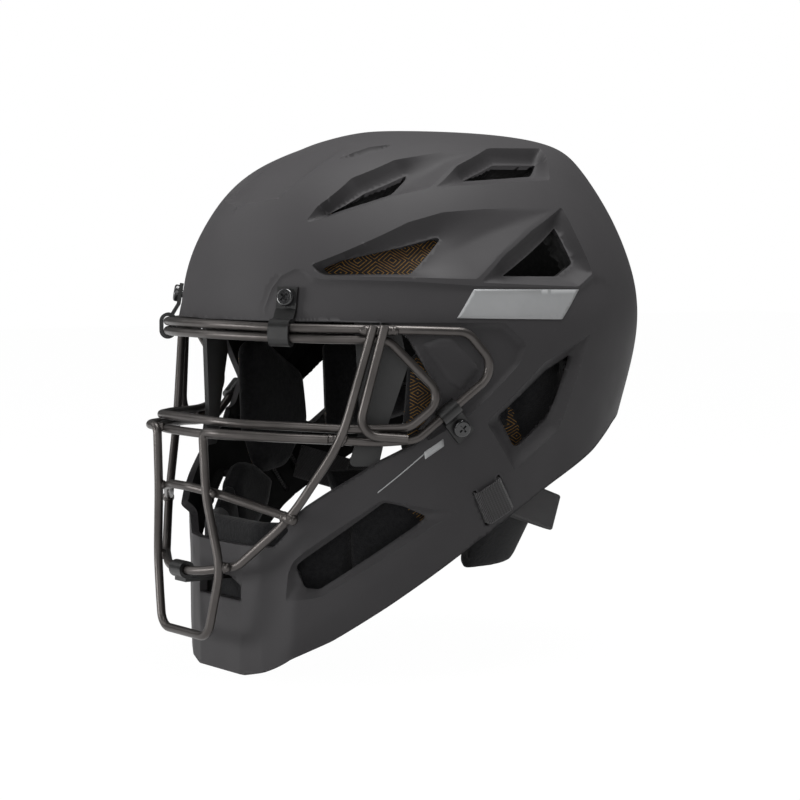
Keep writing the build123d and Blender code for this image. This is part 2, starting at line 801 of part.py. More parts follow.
# Chin pad: a thick rounded band swept round the inside of the chin
chin_pad_y = -chin_reach + wall + soft_gap + chin_pad_thickness / 2
with BuildPart() as chin_pad:
    with BuildLine(Plane.XY.offset(chin_pad_level_share * shell_height)) as path:
        FilletPolyline(
            (0, chin_pad_y),
            (chin_flat_width / 2 - wall - chin_pad_thickness / 2, chin_pad_y),
            (chin_flat_width / 2 + chin_bevel_width, chin_pad_y + chin_pad_wing),
            radius=chin_pad_thickness,
        )
    with BuildSketch(Plane(path.line @ 0, z_dir=path.line % 0)):
        RectangleRounded(chin_pad_height, chin_pad_thickness, chin_pad_thickness * pad_round_share)
    sweep()
    mirror(about=Plane.YZ)
saved("chin_pad", chin_pad.part)

# Webbing loop over the land between the two slots
loop_depth = wall + seat_gap + webbing_thickness
loop_rise = webbing_lift + webbing_thickness / 2
with BuildPart() as strap_anchor:
    with BuildSketch(Plane(slot_plane.origin, x_dir=slot_plane.x_dir, z_dir=slot_plane.y_dir)):
        with BuildLine():
            Polyline(
                (-slot_spacing / 2, loop_depth),
                (-slot_spacing / 2, -loop_rise),
                (slot_spacing / 2, -loop_rise),
                (slot_spacing / 2, loop_depth),
            )
        trace(line_width=webbing_thickness)
    extrude(amount=webbing_width / 2, both=True)
saved_pair("strap_anchor", strap_anchor.part)

# Nape pad: a curved cushion behind the neck that leans back at its top
with BuildPart() as nape_pad:
    with BuildSketch(Plane.YZ):
        with Locations((nape_radius, nape_pad_level_share * shell_height)):
            nape_pad_round = nape_pad_thickness * pad_round_share
            RectangleRounded(nape_pad_thickness, nape_pad_height, nape_pad_round, rotation=-nape_pad_lean)
    revolve(axis=Axis.Z, revolution_arc=nape_pad_wrap)
    mirror(about=Plane.YZ)
saved("nape_pad", nape_pad.part)

# Nape strap: webbing from the loop, back along the shell, folded and sewn to the pad's side
hinge_point = slot_plane.origin + slot_plane.x_dir * slot_spacing / 2
hinge_point -= slot_plane.z_dir * (loop_depth + hinge_gap + webbing_thickness)
strap_plane = Plane((0, hinge_point.Y, hinge_point.Z), x_dir=(1, 0, 0)).rotated((-strap_tilt, 0, 0))
fold_out = hinge_point.X - strap_drift
sewn = strap_plane.from_local_coords((0, strap_reach * sewn_share, 0))
sewn_rise = sewn.Z - nape_pad_level_share * shell_height
pad_side = nape_radius + sewn_rise * math.tan(math.radians(nape_pad_lean))
pad_side += nape_pad_thickness / 2 / math.cos(math.radians(nape_pad_lean))
pad_side = math.sqrt(pad_side**2 - sewn.Y**2)
with BuildPart() as nape_strap:
    with BuildSketch(strap_plane):
        with BuildLine():
            FilletPolyline(
                (hinge_point.X, 0),
                (fold_out, strap_reach),
                (fold_out - 2 * webbing_thickness, strap_reach - webbing_thickness),
                (pad_side + webbing_thickness / 2, strap_reach * sewn_share),
                radius=webbing_thickness * 0.75,
            )
        trace(line_width=webbing_thickness)
    extrude(amount=webbing_width / 2, both=True)
saved_pair("nape_strap", nape_strap.part)
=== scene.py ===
"""Looks of a catcher's helmet: a vented shell, a welded wire cage, foam, pads and a nape harness.

Metres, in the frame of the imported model: X to the wearer's left, Y to the back, Z up.
"""
import json
import math
from contextlib import contextmanager

import bpy
import bmesh
import numpy as np
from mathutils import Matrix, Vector, kdtree
from mathutils.geometry import delaunay_2d_cdt


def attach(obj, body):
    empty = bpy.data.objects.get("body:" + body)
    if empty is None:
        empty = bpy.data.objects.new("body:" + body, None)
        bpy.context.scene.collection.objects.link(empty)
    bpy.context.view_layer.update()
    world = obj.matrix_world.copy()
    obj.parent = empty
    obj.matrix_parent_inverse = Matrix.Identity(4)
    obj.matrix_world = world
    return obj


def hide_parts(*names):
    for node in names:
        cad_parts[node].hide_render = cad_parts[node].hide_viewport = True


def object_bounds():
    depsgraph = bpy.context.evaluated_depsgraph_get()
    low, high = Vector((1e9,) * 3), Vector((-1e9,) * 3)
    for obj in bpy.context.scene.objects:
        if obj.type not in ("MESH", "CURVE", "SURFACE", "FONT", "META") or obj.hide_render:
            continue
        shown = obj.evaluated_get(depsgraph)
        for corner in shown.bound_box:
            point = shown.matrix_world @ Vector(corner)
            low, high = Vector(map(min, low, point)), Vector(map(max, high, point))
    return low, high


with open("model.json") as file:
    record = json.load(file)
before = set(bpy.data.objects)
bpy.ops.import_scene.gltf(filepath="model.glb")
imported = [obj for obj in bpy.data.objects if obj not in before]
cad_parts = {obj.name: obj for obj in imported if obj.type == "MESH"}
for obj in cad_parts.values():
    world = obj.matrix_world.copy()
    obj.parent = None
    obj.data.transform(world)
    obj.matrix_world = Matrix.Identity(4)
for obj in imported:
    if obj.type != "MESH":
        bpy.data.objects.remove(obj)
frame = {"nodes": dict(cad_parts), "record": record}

cad_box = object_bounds()
mm = 0.001

# Sizes of the shell
shell_height = 281 * mm
shell_width = 217 * mm
shell_length = 257 * mm
wall = 4 * mm
chin_reach = 117 * mm
chin_flat_half = 20 * mm
chin_bevel_width = 14 * mm
chin_bevel_slope = 0.27
chin_cheek_slope = 0.48
chin_slot_height = 12 * mm
chin_slot_width = 41 * mm
chin_slot_top_width = 20 * mm
vent_depth = 6.5 * mm
jaw_vent_depth = 4.5 * mm
half_length = shell_length / 2
half_width = shell_width / 2

# Sizes of the lining and the webbing
fit_gap = 0.4 * mm
liner_thickness = 12 * mm
webbing_width = 19 * mm
webbing_thickness = 1.6 * mm
webbing_lift = 0.7 * mm
slot_spacing = 15 * mm
slot_play = 0.5 * mm
slot_lean = 30.0
seat_gap = 0.15 * mm

# Corners: outlines on the skin, holes under the vents, cushions, and rims of the shell and the liner
edge_round = 2 * mm
hole_round = 1.5 * mm
cushion_round = 4 * mm
shell_rim = 0.7 * mm
liner_rim = 1.5 * mm
rim_angle = 65
chin_round = 0.8 * mm

# Spacing of the skin's mesh: all over, along outlines, between the rows beside them and clear of them
skin_step = 2.0 * mm
line_step = 1.2 * mm
row_gap = 0.6 * line_step
row_reach = 2.6 * line_step
line_margin = 0.45 * line_step
hair = 0.001 * mm

# A place inside the dome that the outer faces look away from, and the level that the top view starts at
heart = (0, 8 * mm, -20 * mm)
dome_height = 30 * mm

# One row per level: height, half width, front, back, as shares of the shell's sizes, and the nose's bluntness
level_shares = np.array((
    (-0.670, 0.800, -1.113, 0.765, 1.50),
    (-0.534, 0.853, -1.113, 0.802, 1.50),
    (-0.427, 0.889, -1.113, 0.825, 1.50),
    (-0.320, 0.926, -1.105, 0.848, 1.60),
    (-0.214, 0.959, -1.074, 0.883, 1.80),
    (-0.107, 0.986, -1.023, 0.949, 2.00),
    (0.000, 1.000, -0.977, 1.000, 2.10),
    (0.071, 0.972, -0.949, 1.000, 2.15),
    (0.142, 0.908, -0.911, 0.965, 2.15),
    (0.206, 0.816, -0.848, 0.914, 2.10),
    (0.260, 0.705, -0.757, 0.858, 2.10),
    (0.306, 0.576, -0.618, 0.800, 2.05),
    (0.342, 0.429, -0.420, 0.705, 2.00),
    (0.363, 0.250, -0.240, 0.470, 2.00),
    (0.3695, 0.080, -0.070, 0.190, 2.00),
    (0.3700, 0.000, 0.066, 0.066, 2.00),
))
middle_share = 0.48
back_bluntness = 2.15


def spline_through(stations, values, wanted):
    """Cubic spline with continuous bending through values at stations, free at both ends."""
    count = len(stations)
    gap = np.diff(stations)
    slope = np.diff(values) / gap
    system = np.zeros((count, count))
    right = np.zeros(count)
    system[0, 0] = system[-1, -1] = 1
    inner = np.arange(1, count - 1)
    system[inner, inner - 1] = gap[:-1]
    system[inner, inner] = 2 * (gap[:-1] + gap[1:])
    system[inner, inner + 1] = gap[1:]
    right[1:-1] = 6 * np.diff(slope)
    bend = np.linalg.solve(system, right)
    k = np.clip(np.searchsorted(stations, wanted, side="right") - 1, 0, count - 2)
    t = wanted - stations[k]
    h = gap[k]
    return (
        values[k]
        + t * (slope[k] - h * (2 * bend[k] + bend[k + 1]) / 6)
        + t**2 * bend[k] / 2
        + t**3 * (bend[k + 1] - bend[k]) / (6 * h)
    )


class Skin:
    """Left half of the helmet's outer form: superellipse rings whose sizes follow splines up the levels.

    A place on it is (across, down): across is the arc length from the side's middle, towards the back,
    and down is the length along the side's profile below the crown.
    """

    rows = 500
    ring = 481

    def __init__(self):
        height, width, front, back, nose = level_shares.T
        height, width = height * shell_height, width * half_width
        front, back = front * half_length, back * half_length
        self.stations = np.concatenate([[0], np.cumsum(np.hypot(np.diff(height), np.diff(width)))])
        middle = back - middle_share * (back - front)
        self.tables = (height, width, middle, middle - front, back - middle, nose)
        levels = np.linspace(0, self.stations[-1], self.rows)
        self.levels = levels
        angles = np.linspace(-math.pi / 2, math.pi / 2, self.ring)
        grid_level, grid_angle = np.meshgrid(levels, angles, indexing="ij")
        points = self.ring_place(grid_level, grid_angle)
        steps = np.linalg.norm(np.diff(points[..., :2], axis=1), axis=2)
        length = np.concatenate([np.zeros((self.rows, 1)), np.cumsum(steps, axis=1)], axis=1)
        self.around = length[:, -1]
        profile = np.linalg.norm(np.diff(points[:, self.ring // 2], axis=0), axis=1)
        self.profile = np.concatenate([[0], np.cumsum(profile)])
        self.total = self.profile[-1]
        length[-1] = np.linspace(0, 1, self.ring)
        share = length / length[:, -1:]
        self.share_of_angle = share
        even = np.linspace(0, 1, self.ring)
        self.angle_of_share = np.array([np.interp(even, row, angles) for row in share])
        self.heights = self.sizes(levels)[0]

    def sizes(self, level):
        """Height, half width, middle, reach forwards, reach backwards and nose bluntness at a level."""
        return [spline_through(self.stations, table, level) for table in self.tables]

    def ring_place(self, level, angle):
        """Point of a ring: cosine and sine of the angle, each raised to two over the bluntness."""
        height, width, middle, fore, aft, nose = self.sizes(level)
        behind = angle > 0
        power = 2 / np.where(behind, back_bluntness, nose)
        x = np.maximum(width, 0) * np.abs(np.cos(angle)) ** power
        along = np.abs(np.sin(angle)) ** power
        y = middle + np.where(behind, aft, -fore) * along
        return np.stack([x, y, height], axis=-1)

    def table_at(self, table, level, share):
        """Value of a table with a row per level and a column per share, between its entries."""
        row = level / self.stations[-1] * (self.rows - 1)
        column = share * (self.ring - 1)
        r = np.clip(row.astype(int), 0, self.rows - 2)
        c = np.clip(column.astype(int), 0, self.ring - 2)
        fr, fc = row - r, column - c
        low = table[r, c] * (1 - fc) + table[r, c + 1] * fc
        high = table[r + 1, c] * (1 - fc) + table[r + 1, c + 1] * fc
        return low * (1 - fr) + high * fr

    def level_at(self, down):
        """Level at a length down the side."""
        return np.interp(self.total - down, self.profile, self.levels)

    def ring_length(self, level):
        """Length of the left half of the ring at a level."""
        return np.interp(level, self.levels, self.around)

    def place(self, spots):
        """Points in space for rows of (across, down)."""
        level = self.level_at(spots[:, 1])
        share = np.clip(spots[:, 0] / np.maximum(self.ring_length(level), hair) + 0.5, 0, 1)
        angle = self.table_at(self.angle_of_share, level, share)
        angle = np.where(share <= 0, -math.pi / 2, np.where(share >= 1, math.pi / 2, angle))
        points = self.ring_place(level, angle)
        points[(share <= 0) | (share >= 1), 0] = 0
        return points

    def spots_of(self, level, angle):
        """(across, down) for a level and an angle."""
        share = self.table_at(self.share_of_angle, level, (angle + math.pi / 2) / math.pi)
        down = self.total - np.interp(level, self.levels, self.profile)
        return np.stack([(share - 0.5) * self.ring_length(level), down], axis=-1)

    def from_side(self, points):
        """(across, down) of places given by Y and Z; a place off the outline moves to the middle plane."""
        points = np.asarray(points, float)
        level = np.interp(points[:, 1], self.heights, self.levels)
        _, _, middle, fore, aft, nose = self.sizes(level)
        ahead = points[:, 0] < middle
        share = np.abs(points[:, 0] - middle) / np.where(ahead, fore, aft)
        power = np.where(ahead, nose, back_bluntness) / 2
        angle = np.arcsin(np.clip(share, 0, 1) ** power)
        return self.spots_of(level, np.where(ahead, -angle, angle))

    def from_front(self, points):
        """(across, down) of places given by X and Z on the front."""
        points = np.asarray(points, float)
        level = np.interp(points[:, 1], self.heights, self.levels)
        _, width, _, _, _, nose = self.sizes(level)
        angle = np.arccos(np.clip(points[:, 0] / width, 0, 1) ** (nose / 2))
        return self.spots_of(level, -angle)

    def from_top(self, points):
        """(across, down) of places given by X and Y: the ring of the dome that passes through each."""
        found = []
        upper = self.heights > dome_height
        _, width, middle, fore, aft, nose = self.sizes(self.levels)
        for x, y in points:
            ahead = y < middle
            power = np.where(ahead, nose, back_bluntness)
            x_share = x / np.maximum(width, hair)
            y_share = np.abs(y - middle) / np.maximum(np.where(ahead, fore, aft), hair)
            level = np.interp(1, (x_share**power + y_share**power)[upper], self.levels[upper])
            sizes = self.sizes(np.array([level]))
            _, _, centre, reach_ahead, reach_behind, blunt = (size[0] for size in sizes)
            forward = y < centre
            share = abs(y - centre) / (reach_ahead if forward else reach_behind)
            angle = math.asin(min(share, 1) ** ((blunt if forward else back_bluntness) / 2))
            found.append((level, -angle if forward else angle))
        found = np.array(found)
        return self.spots_of(found[:, 0], found[:, 1])


skin = Skin()
views = {"side": skin.from_side, "front": skin.from_front, "top": skin.from_top}


def side(shares):
    """Places in the side view, Y and Z, from shares of the half length and the height."""
    return np.asarray(shares) * (half_length, shell_height)


def dense(points, step, closed=True):
    """Points along straight runs, no further apart than step."""
    points = np.asarray(points, float)
    ends = np.roll(points, -1, axis=0) if closed else points[1:]
    pieces = []
    for start, end in zip(points, ends):
        count = max(int(np.ceil(np.linalg.norm(end - start) / step)), 1)
        pieces.append(start + (end - start) * (np.arange(count) / count)[:, None])
    if not closed:
        pieces.append(points[-1:])
    return np.concatenate(pieces)


def corner_curve(back, here, on, radius, most, turns):
    """Parabola in place of a corner: it starts a radius away, or at most of the run where that is less."""
    start, end = back - here, on - here
    run_in, run_out = np.linalg.norm(start), np.linalg.norm(end)
    a = here + start / run_in * min(radius, most * run_in)
    b = here + end / run_out * min(radius, most * run_out)
    t = (np.arange(turns + 1) / turns)[:, None]
    return a * (1 - t) ** 2 + 2 * here * t * (1 - t) + b * t**2


def rounded(points, radius):
    """Closed outline with its corners rounded."""
    points = np.asarray(points, float)
    corners = zip(np.roll(points, 1, axis=0), points, np.roll(points, -1, axis=0))
    return np.concatenate([corner_curve(*corner, radius, most=0.4, turns=4) for corner in corners])


def rounded_path(path, radius):
    """Open path with its inner corners rounded."""
    path = np.asarray(path, float)
    curves = [corner_curve(*corner, radius, most=0.45, turns=6) for corner in zip(path, path[1:], path[2:])]
    return np.concatenate([path[:1], *curves, path[-1:]])


def inside(spots, outline):
    """Which spots lie inside a closed outline, by counting crossings of a level line."""
    x, y = spots[:, 0:1], spots[:, 1:2]
    x1, y1 = outline[:, 0], outline[:, 1]
    x2, y2 = np.roll(x1, -1), np.roll(y1, -1)
    crosses = (y1 > y) != (y2 > y)
    with np.errstate(divide="ignore", invalid="ignore"):
        at = (x2 - x1) * (y - y1) / (y2 - y1) + x1
    return (np.sum(crosses & (x < at), axis=1) % 2).astype(bool)


def distance(points, line, closed=True):
    """Distance in space from each point to a chain of straight runs."""
    ends = np.roll(line, -1, axis=0) if closed else line[1:]
    best = np.full(len(points), np.inf)
    for a, b in zip(line, ends):
        run = b - a
        t = np.clip((points - a) @ run / max(run @ run, 1e-12), 0, 1)
        best = np.minimum(best, np.linalg.norm(points - a - t[:, None] * run, axis=1))
    return best


def soft_step(t):
    """Smooth rise from 0 to 1."""
    t = np.clip(t, 0, 1)
    return t * t * (3 - 2 * t)


# Vents in the side view: the mouth on the skin and the smaller hole under it
vent_shares = {
    "front_scoop": (
        (
            (-0.742, 0.194), (-0.681, 0.225), (-0.527, 0.275),
            (-0.323, 0.309), (-0.111, 0.325), (0.086, 0.329),
            (-0.113, 0.299), (-0.274, 0.257), (-0.349, 0.250), (-0.436, 0.242), (-0.681, 0.203),
        ),
        (
            (-0.668, 0.221), (-0.501, 0.264), (-0.296, 0.299),
            (-0.305, 0.293), (-0.407, 0.262), (-0.575, 0.237),
        ),
    ),
    "top_rear": (
        (
            (-0.254, 0.257), (-0.094, 0.299), (0.129, 0.334), (0.450, 0.337),
            (0.340, 0.275), (0.083, 0.269), (-0.142, 0.262),
        ),
        ((-0.075, 0.288), (0.140, 0.321), (0.395, 0.322), (0.308, 0.299)),
    ),
    "side_front": (
        (
            (-0.770, 0.121), (-0.596, 0.159), (-0.418, 0.196),
            (-0.267, 0.214), (-0.077, 0.220), (0.262, 0.219),
            (0.085, 0.183), (-0.085, 0.139), (-0.212, 0.095), (-0.472, 0.099), (-0.750, 0.102),
        ),
        (
            (-0.745, 0.121), (-0.680, 0.137), (-0.311, 0.181),
            (-0.298, 0.177), (-0.458, 0.111), (-0.730, 0.111),
        ),
    ),
    "rear_triangle": (
        (
            (0.322, 0.225), (0.105, 0.182), (-0.065, 0.138), (-0.201, 0.089),
            (0.278, 0.079), (0.386, 0.103), (0.345, 0.170),
        ),
        ((-0.065, 0.107), (0.290, 0.198), (0.331, 0.130), (0.219, 0.105)),
    ),
    "ear": (
        ((0.331, -0.006), (0.184, -0.180), (-0.042, -0.250), (-0.187, -0.160), (0.078, -0.055)),
        (
            (0.262, -0.048), (0.200, -0.127), (0.157, -0.165), (0.009, -0.210),
            (-0.017, -0.208), (-0.099, -0.153), (0.131, -0.074),
        ),
    ),
    "jaw": (
        (
            (-0.859, -0.481), (-0.855, -0.430), (-0.839, -0.408), (-0.700, -0.348), (-0.560, -0.294),
            (-0.363, -0.314), (-0.253, -0.317), (-0.374, -0.345), (-0.738, -0.471),
        ),
        (
            (-0.825, -0.418), (-0.549, -0.303), (-0.477, -0.311), (-0.390, -0.330),
            (-0.418, -0.343), (-0.740, -0.459), (-0.785, -0.457),
        ),
    ),
}

# Raised and sunken fields: view, the edge that shows, the points that close it, depth, width of the edge,
# and fades as (axis, where it starts, where it is full)
relief_shares = {
    "crown_slit": (
        "side",
        (
            (-0.500, 0.309), (-0.433, 0.322), (-0.344, 0.334),
            (-0.246, 0.340), (-0.319, 0.329), (-0.403, 0.320),
        ),
        (), 2.0 * mm, 2.2 * mm, (),
    ),
    "brow_band": (
        "side",
        (
            (-0.899, 0.010), (-0.895, 0.044), (-0.872, 0.079),
            (-0.846, 0.101), (-0.810, 0.114), (-0.785, 0.112),
            (-0.762, 0.096), (-0.472, 0.092), (-0.206, 0.083), (0.278, 0.0765), (0.386, 0.097),
        ),
        ((0.600, 0.060), (0.600, -0.020), (-0.899, -0.020)),
        0.9 * mm, 2.5 * mm, ((2, 4 * mm, 22 * mm), (1, 72 * mm, 42 * mm)),
    ),
    "forehead_dip": (
        "top",
        (
            (0.001, -0.412), (0.055, -0.401), (0.109, -0.377),
            (0.117, -0.319), (0.107, -0.257), (0.093, -0.195),
        ),
        ((0.001, -0.175),),
        3.6 * mm, 6.0 * mm, ((1, -46 * mm, -90 * mm),),
    ),
    "side_panel": (
        "side",
        (
            (-0.600, 0.0205), (-0.117, 0.018), (-0.016, -0.021),
            (-0.047, -0.057), (-0.257, -0.146), (-0.420, -0.190),
        ),
        (), 2.2 * mm, 2.2 * mm, (),
    ),
    "panel_step": (
        "side",
        (
            (-0.452, -0.019), (-0.383, -0.007), (-0.328, -0.008),
            (-0.217, -0.064), (-0.290, -0.104), (-0.347, -0.087),
        ),
        (), -1.5 * mm, 3.0 * mm, (),
    ),
}
jaw_fold_shares = ((-0.542, -0.438), (-0.244, -0.320))
jaw_fold_slope = 0.20
face_shares = (
    (-1.250, 0.023), (-0.739, 0.023), (-0.560, 0.0195), (-0.498, -0.007), (-0.366, -0.114),
    (-0.467, -0.196), (-0.584, -0.226), (-0.747, -0.285), (-0.809, -0.311), (-0.930, -0.385),
    (-1.250, -0.387),
)
under_shares = (
    (-1.250, -0.6255), (-1.040, -0.624), (-0.945, -0.613),
    (-0.856, -0.593), (-0.693, -0.552), (-0.506, -0.491),
    (-0.171, -0.377), (0.210, -0.281), (0.436, -0.228), (0.615, -0.181), (0.778, -0.160),
    (1.250, -0.153), (1.250, -0.800), (-1.250, -0.800),
)
liner_cut_shares = (
    (-1.250, 0.043), (-0.311, 0.043), (0.156, 0.000), (0.467, -0.142), (1.250, -0.142),
    (1.250, -0.800), (-1.250, -0.800),
)
slot_share = (-0.128, -0.302)
drawn_in = 0.985


class Outline:
    """An outline on the skin: dense spots on it and the same line in space."""

    def __init__(self, places, view, radius=0.0, closed=True):
        places = rounded(places, radius) if radius else np.asarray(places, float)
        self.closed = closed
        self.spots = views[view](dense(places, line_step, closed))
        self.line = skin.place(self.spots)


class Relief:
    """A field of the skin that is sunk, or raised where the depth is negative, behind a soft edge."""

    def __init__(self, view, edge, closing, depth, width, fades):
        scale = (half_length, shell_height) if view == "side" else (shell_length, shell_length)
        self.depth, self.width, self.fades = depth, width, fades
        if closing:
            self.edge = Outline(np.array(edge) * scale, view, closed=False)
            self.field = Outline(np.array(edge + closing) * scale, view)
        else:
            self.edge = self.field = Outline(np.array(edge) * scale, view, edge_round)

    def sink(self, spots, points):
        """Depth at each spot: an arc of a parabola from the edge, times the fades along their axes.

        The spots are drawn in a little, so that those on the middle line count as inside.
        """
        sunk = np.zeros(len(spots))
        at = np.where(inside(spots * (drawn_in, 1), self.field.spots))[0]
        reach = np.clip(distance(points[at], self.edge.line, self.edge.closed) / self.width, 0, 1)
        sunk[at] = self.depth * (1 - (1 - reach) ** 2)
        for axis, start, end in self.fades:
            sunk *= soft_step((points[:, axis] - start) / (end - start))
        return sunk


vents = {
    name: (Outline(side(mouth), "side", edge_round), Outline(side(hole), "side", hole_round))
    for name, (mouth, hole) in vent_shares.items()
}
reliefs = {name: Relief(*given) for name, given in relief_shares.items()}
port = Outline(side(face_shares), "side", edge_round)
under = Outline(side(under_shares), "side", edge_round)
liner_cut = Outline(side(liner_cut_shares), "side", edge_round)


def slot_frame():
    """Middle, outward normal and the two directions of the webbing loop on the left skin."""
    spot = skin.from_side([side(slot_share)])
    nudge = 0.5 * mm
    here = skin.place(spot)[0]
    along = skin.place(spot + (nudge, 0))[0] - here
    down = skin.place(spot + (0, nudge))[0] - here
    normal = np.cross(down, along)
    normal /= np.linalg.norm(normal)
    if normal[0] < 0:
        normal = -normal
    level = np.cross((0, 0, 1), normal)
    level /= np.linalg.norm(level)
    upright = np.cross(normal, level)
    lean = math.radians(slot_lean)
    x_dir = level * math.cos(lean) + upright * math.sin(lean)
    return here, normal, x_dir, np.cross(normal, x_dir)


slot_middle, slot_normal, slot_across, slot_up = slot_frame()


def slot_outlines():
    """The two narrow rounded slots that the webbing loop passes through."""
    width = webbing_thickness + 2 * slot_play
    half_run = webbing_width / 2
    turn = np.linspace(0, math.pi, 7)
    found = []
    for sign in (-1, 1):
        arc_x = width / 2 * np.cos(turn)
        arc_y = half_run + width / 2 * np.sin(turn)
        x = np.concatenate([arc_x, -arc_x]) + sign * slot_spacing / 2
        y = np.concatenate([arc_y, -arc_y])
        points = slot_middle + x[:, None] * slot_across + y[:, None] * slot_up
        found.append(Outline(points[:, 1:], "side"))
    return found


chin_slot_top = -0.445 * shell_height
chin_slot_base = chin_slot_top - chin_slot_height
chin_slot_places = (
    (0, chin_slot_top),
    (chin_slot_top_width / 2, chin_slot_top),
    (chin_slot_width / 2, chin_slot_top - chin_slot_height / 3),
    (chin_slot_width / 2, chin_slot_base),
    (0, chin_slot_base),
)
chin_slot = Outline(chin_slot_places, "front")
slots = slot_outlines()


def mesh_object(name, points, faces):
    """New mesh object at the origin from arrays of points and faces."""
    mesh = bpy.data.meshes.new(name)
    mesh.from_pydata(points.tolist(), [], faces.tolist() if hasattr(faces, "tolist") else faces)
    mesh.update()
    piece = bpy.data.objects.new(name, mesh)
    bpy.context.scene.collection.objects.link(piece)
    return piece


def strips(line):
    """Rows of spots beside an outline, two on each side, so that its crest is even."""
    run = np.roll(line.spots, -1, axis=0) - np.roll(line.spots, 1, axis=0)
    if not line.closed:
        run[0], run[-1] = run[1], run[-2]
    run /= np.maximum(np.linalg.norm(run, axis=1, keepdims=True), 1e-9)
    aside = np.stack([run[:, 1], -run[:, 0]], axis=-1)
    return np.concatenate([line.spots + aside * k * line_step for k in (-2, -1, 1, 2)])


def clear_of(spots, near, gap, block=400):
    """Which spots lie further than a gap from every point of a set, in space, a block of points at a time."""
    places = skin.place(spots)
    clear = np.ones(len(spots), bool)
    for start in range(0, len(near), block):
        steps = places[:, None] - near[start:start + block][None]
        clear &= np.linalg.norm(steps, axis=2).min(axis=1) > gap
    return clear


def even_grid():
    """Spots all over the left half of the skin, about one step apart."""
    spots = []
    rings = int(skin.total / skin_step)
    for ring in range(rings + 1):
        down = skin.total * ring / rings
        around = skin.ring_length(skin.level_at(down))
        count = max(int(around / skin_step), 1)
        across = (np.arange(count + 1) / count - 0.5) * around
        spots.append(np.stack([across, np.full(count + 1, down)], axis=-1))
    return np.concatenate(spots)


def triangulated(spots, edges):
    """Delaunay triangles through all spots and along the edges, worked out in millimetres."""
    corners = [Vector(spot) for spot in (spots * 1000).tolist()]
    vertices, _, faces, _, _, _ = delaunay_2d_cdt(corners, edges, [], 0, 1e-4)
    return np.array([tuple(vertex) for vertex in vertices]) / 1000, np.array(faces)


def sheet_mesh(holes, lines):
    """Triangles over the left half of the skin that follow outlines, without the parts inside holes."""
    chains = holes + lines
    near = np.concatenate([outline.line for outline in chains])
    spots = even_grid()
    if lines:
        beside = np.concatenate([strips(line) for line in lines])
        _, first = np.unique(np.round(beside / row_gap).astype(int), axis=0, return_index=True)
        beside = beside[first]
        beside = beside[clear_of(beside, near, row_gap)]
        crests = np.concatenate([line.line for line in lines])
        spots = np.concatenate([spots[clear_of(spots, crests, row_reach)], beside])
    keep = clear_of(spots, near, line_margin)
    for outline in holes:
        keep &= ~inside(spots, outline.spots)
    points = [spots[keep]]
    count = len(points[0])
    edges = []
    for chain in chains:
        size = len(chain.spots)
        points.append(chain.spots)
        edges += [(count + k, count + (k + 1) % size) for k in range(size if chain.closed else size - 1)]
        count += size
    spots, faces = triangulated(np.concatenate(points), edges)
    middle = spots[faces].mean(axis=1)
    around = skin.ring_length(skin.level_at(middle[:, 1]))
    keep = (np.abs(middle[:, 0]) < around / 2) & (middle[:, 1] < skin.total)
    for outline in holes:
        keep &= ~inside(middle, outline.spots)
    return spots, faces[keep]


# Finishes
class Nodes:
    """Nodes of a material or of the world."""

    def __init__(self, owner):
        owner.use_nodes = True
        self.tree = owner.node_tree

    def fill(self, socket, value):
        """Link another socket to an input, or set the input's own value."""
        if isinstance(value, bpy.types.NodeSocket):
            self.tree.links.new(value, socket)
        else:
            socket.default_value = value

    def add(self, kind, **values):
        """New node; values name its inputs, with _ for a space, or its own settings."""
        made = self.tree.nodes.new(kind)
        for key, value in values.items():
            label = key.replace("_", " ")
            if label in made.inputs:
                self.fill(made.inputs[label], value)
            else:
                setattr(made, key, value)
        return made

    def maths(self, how, *values):
        """One sum on sockets or numbers."""
        made = self.add("ShaderNodeMath", operation=how)
        for socket, value in zip(made.inputs, values):
            self.fill(socket, value)
        return made.outputs["Value"]


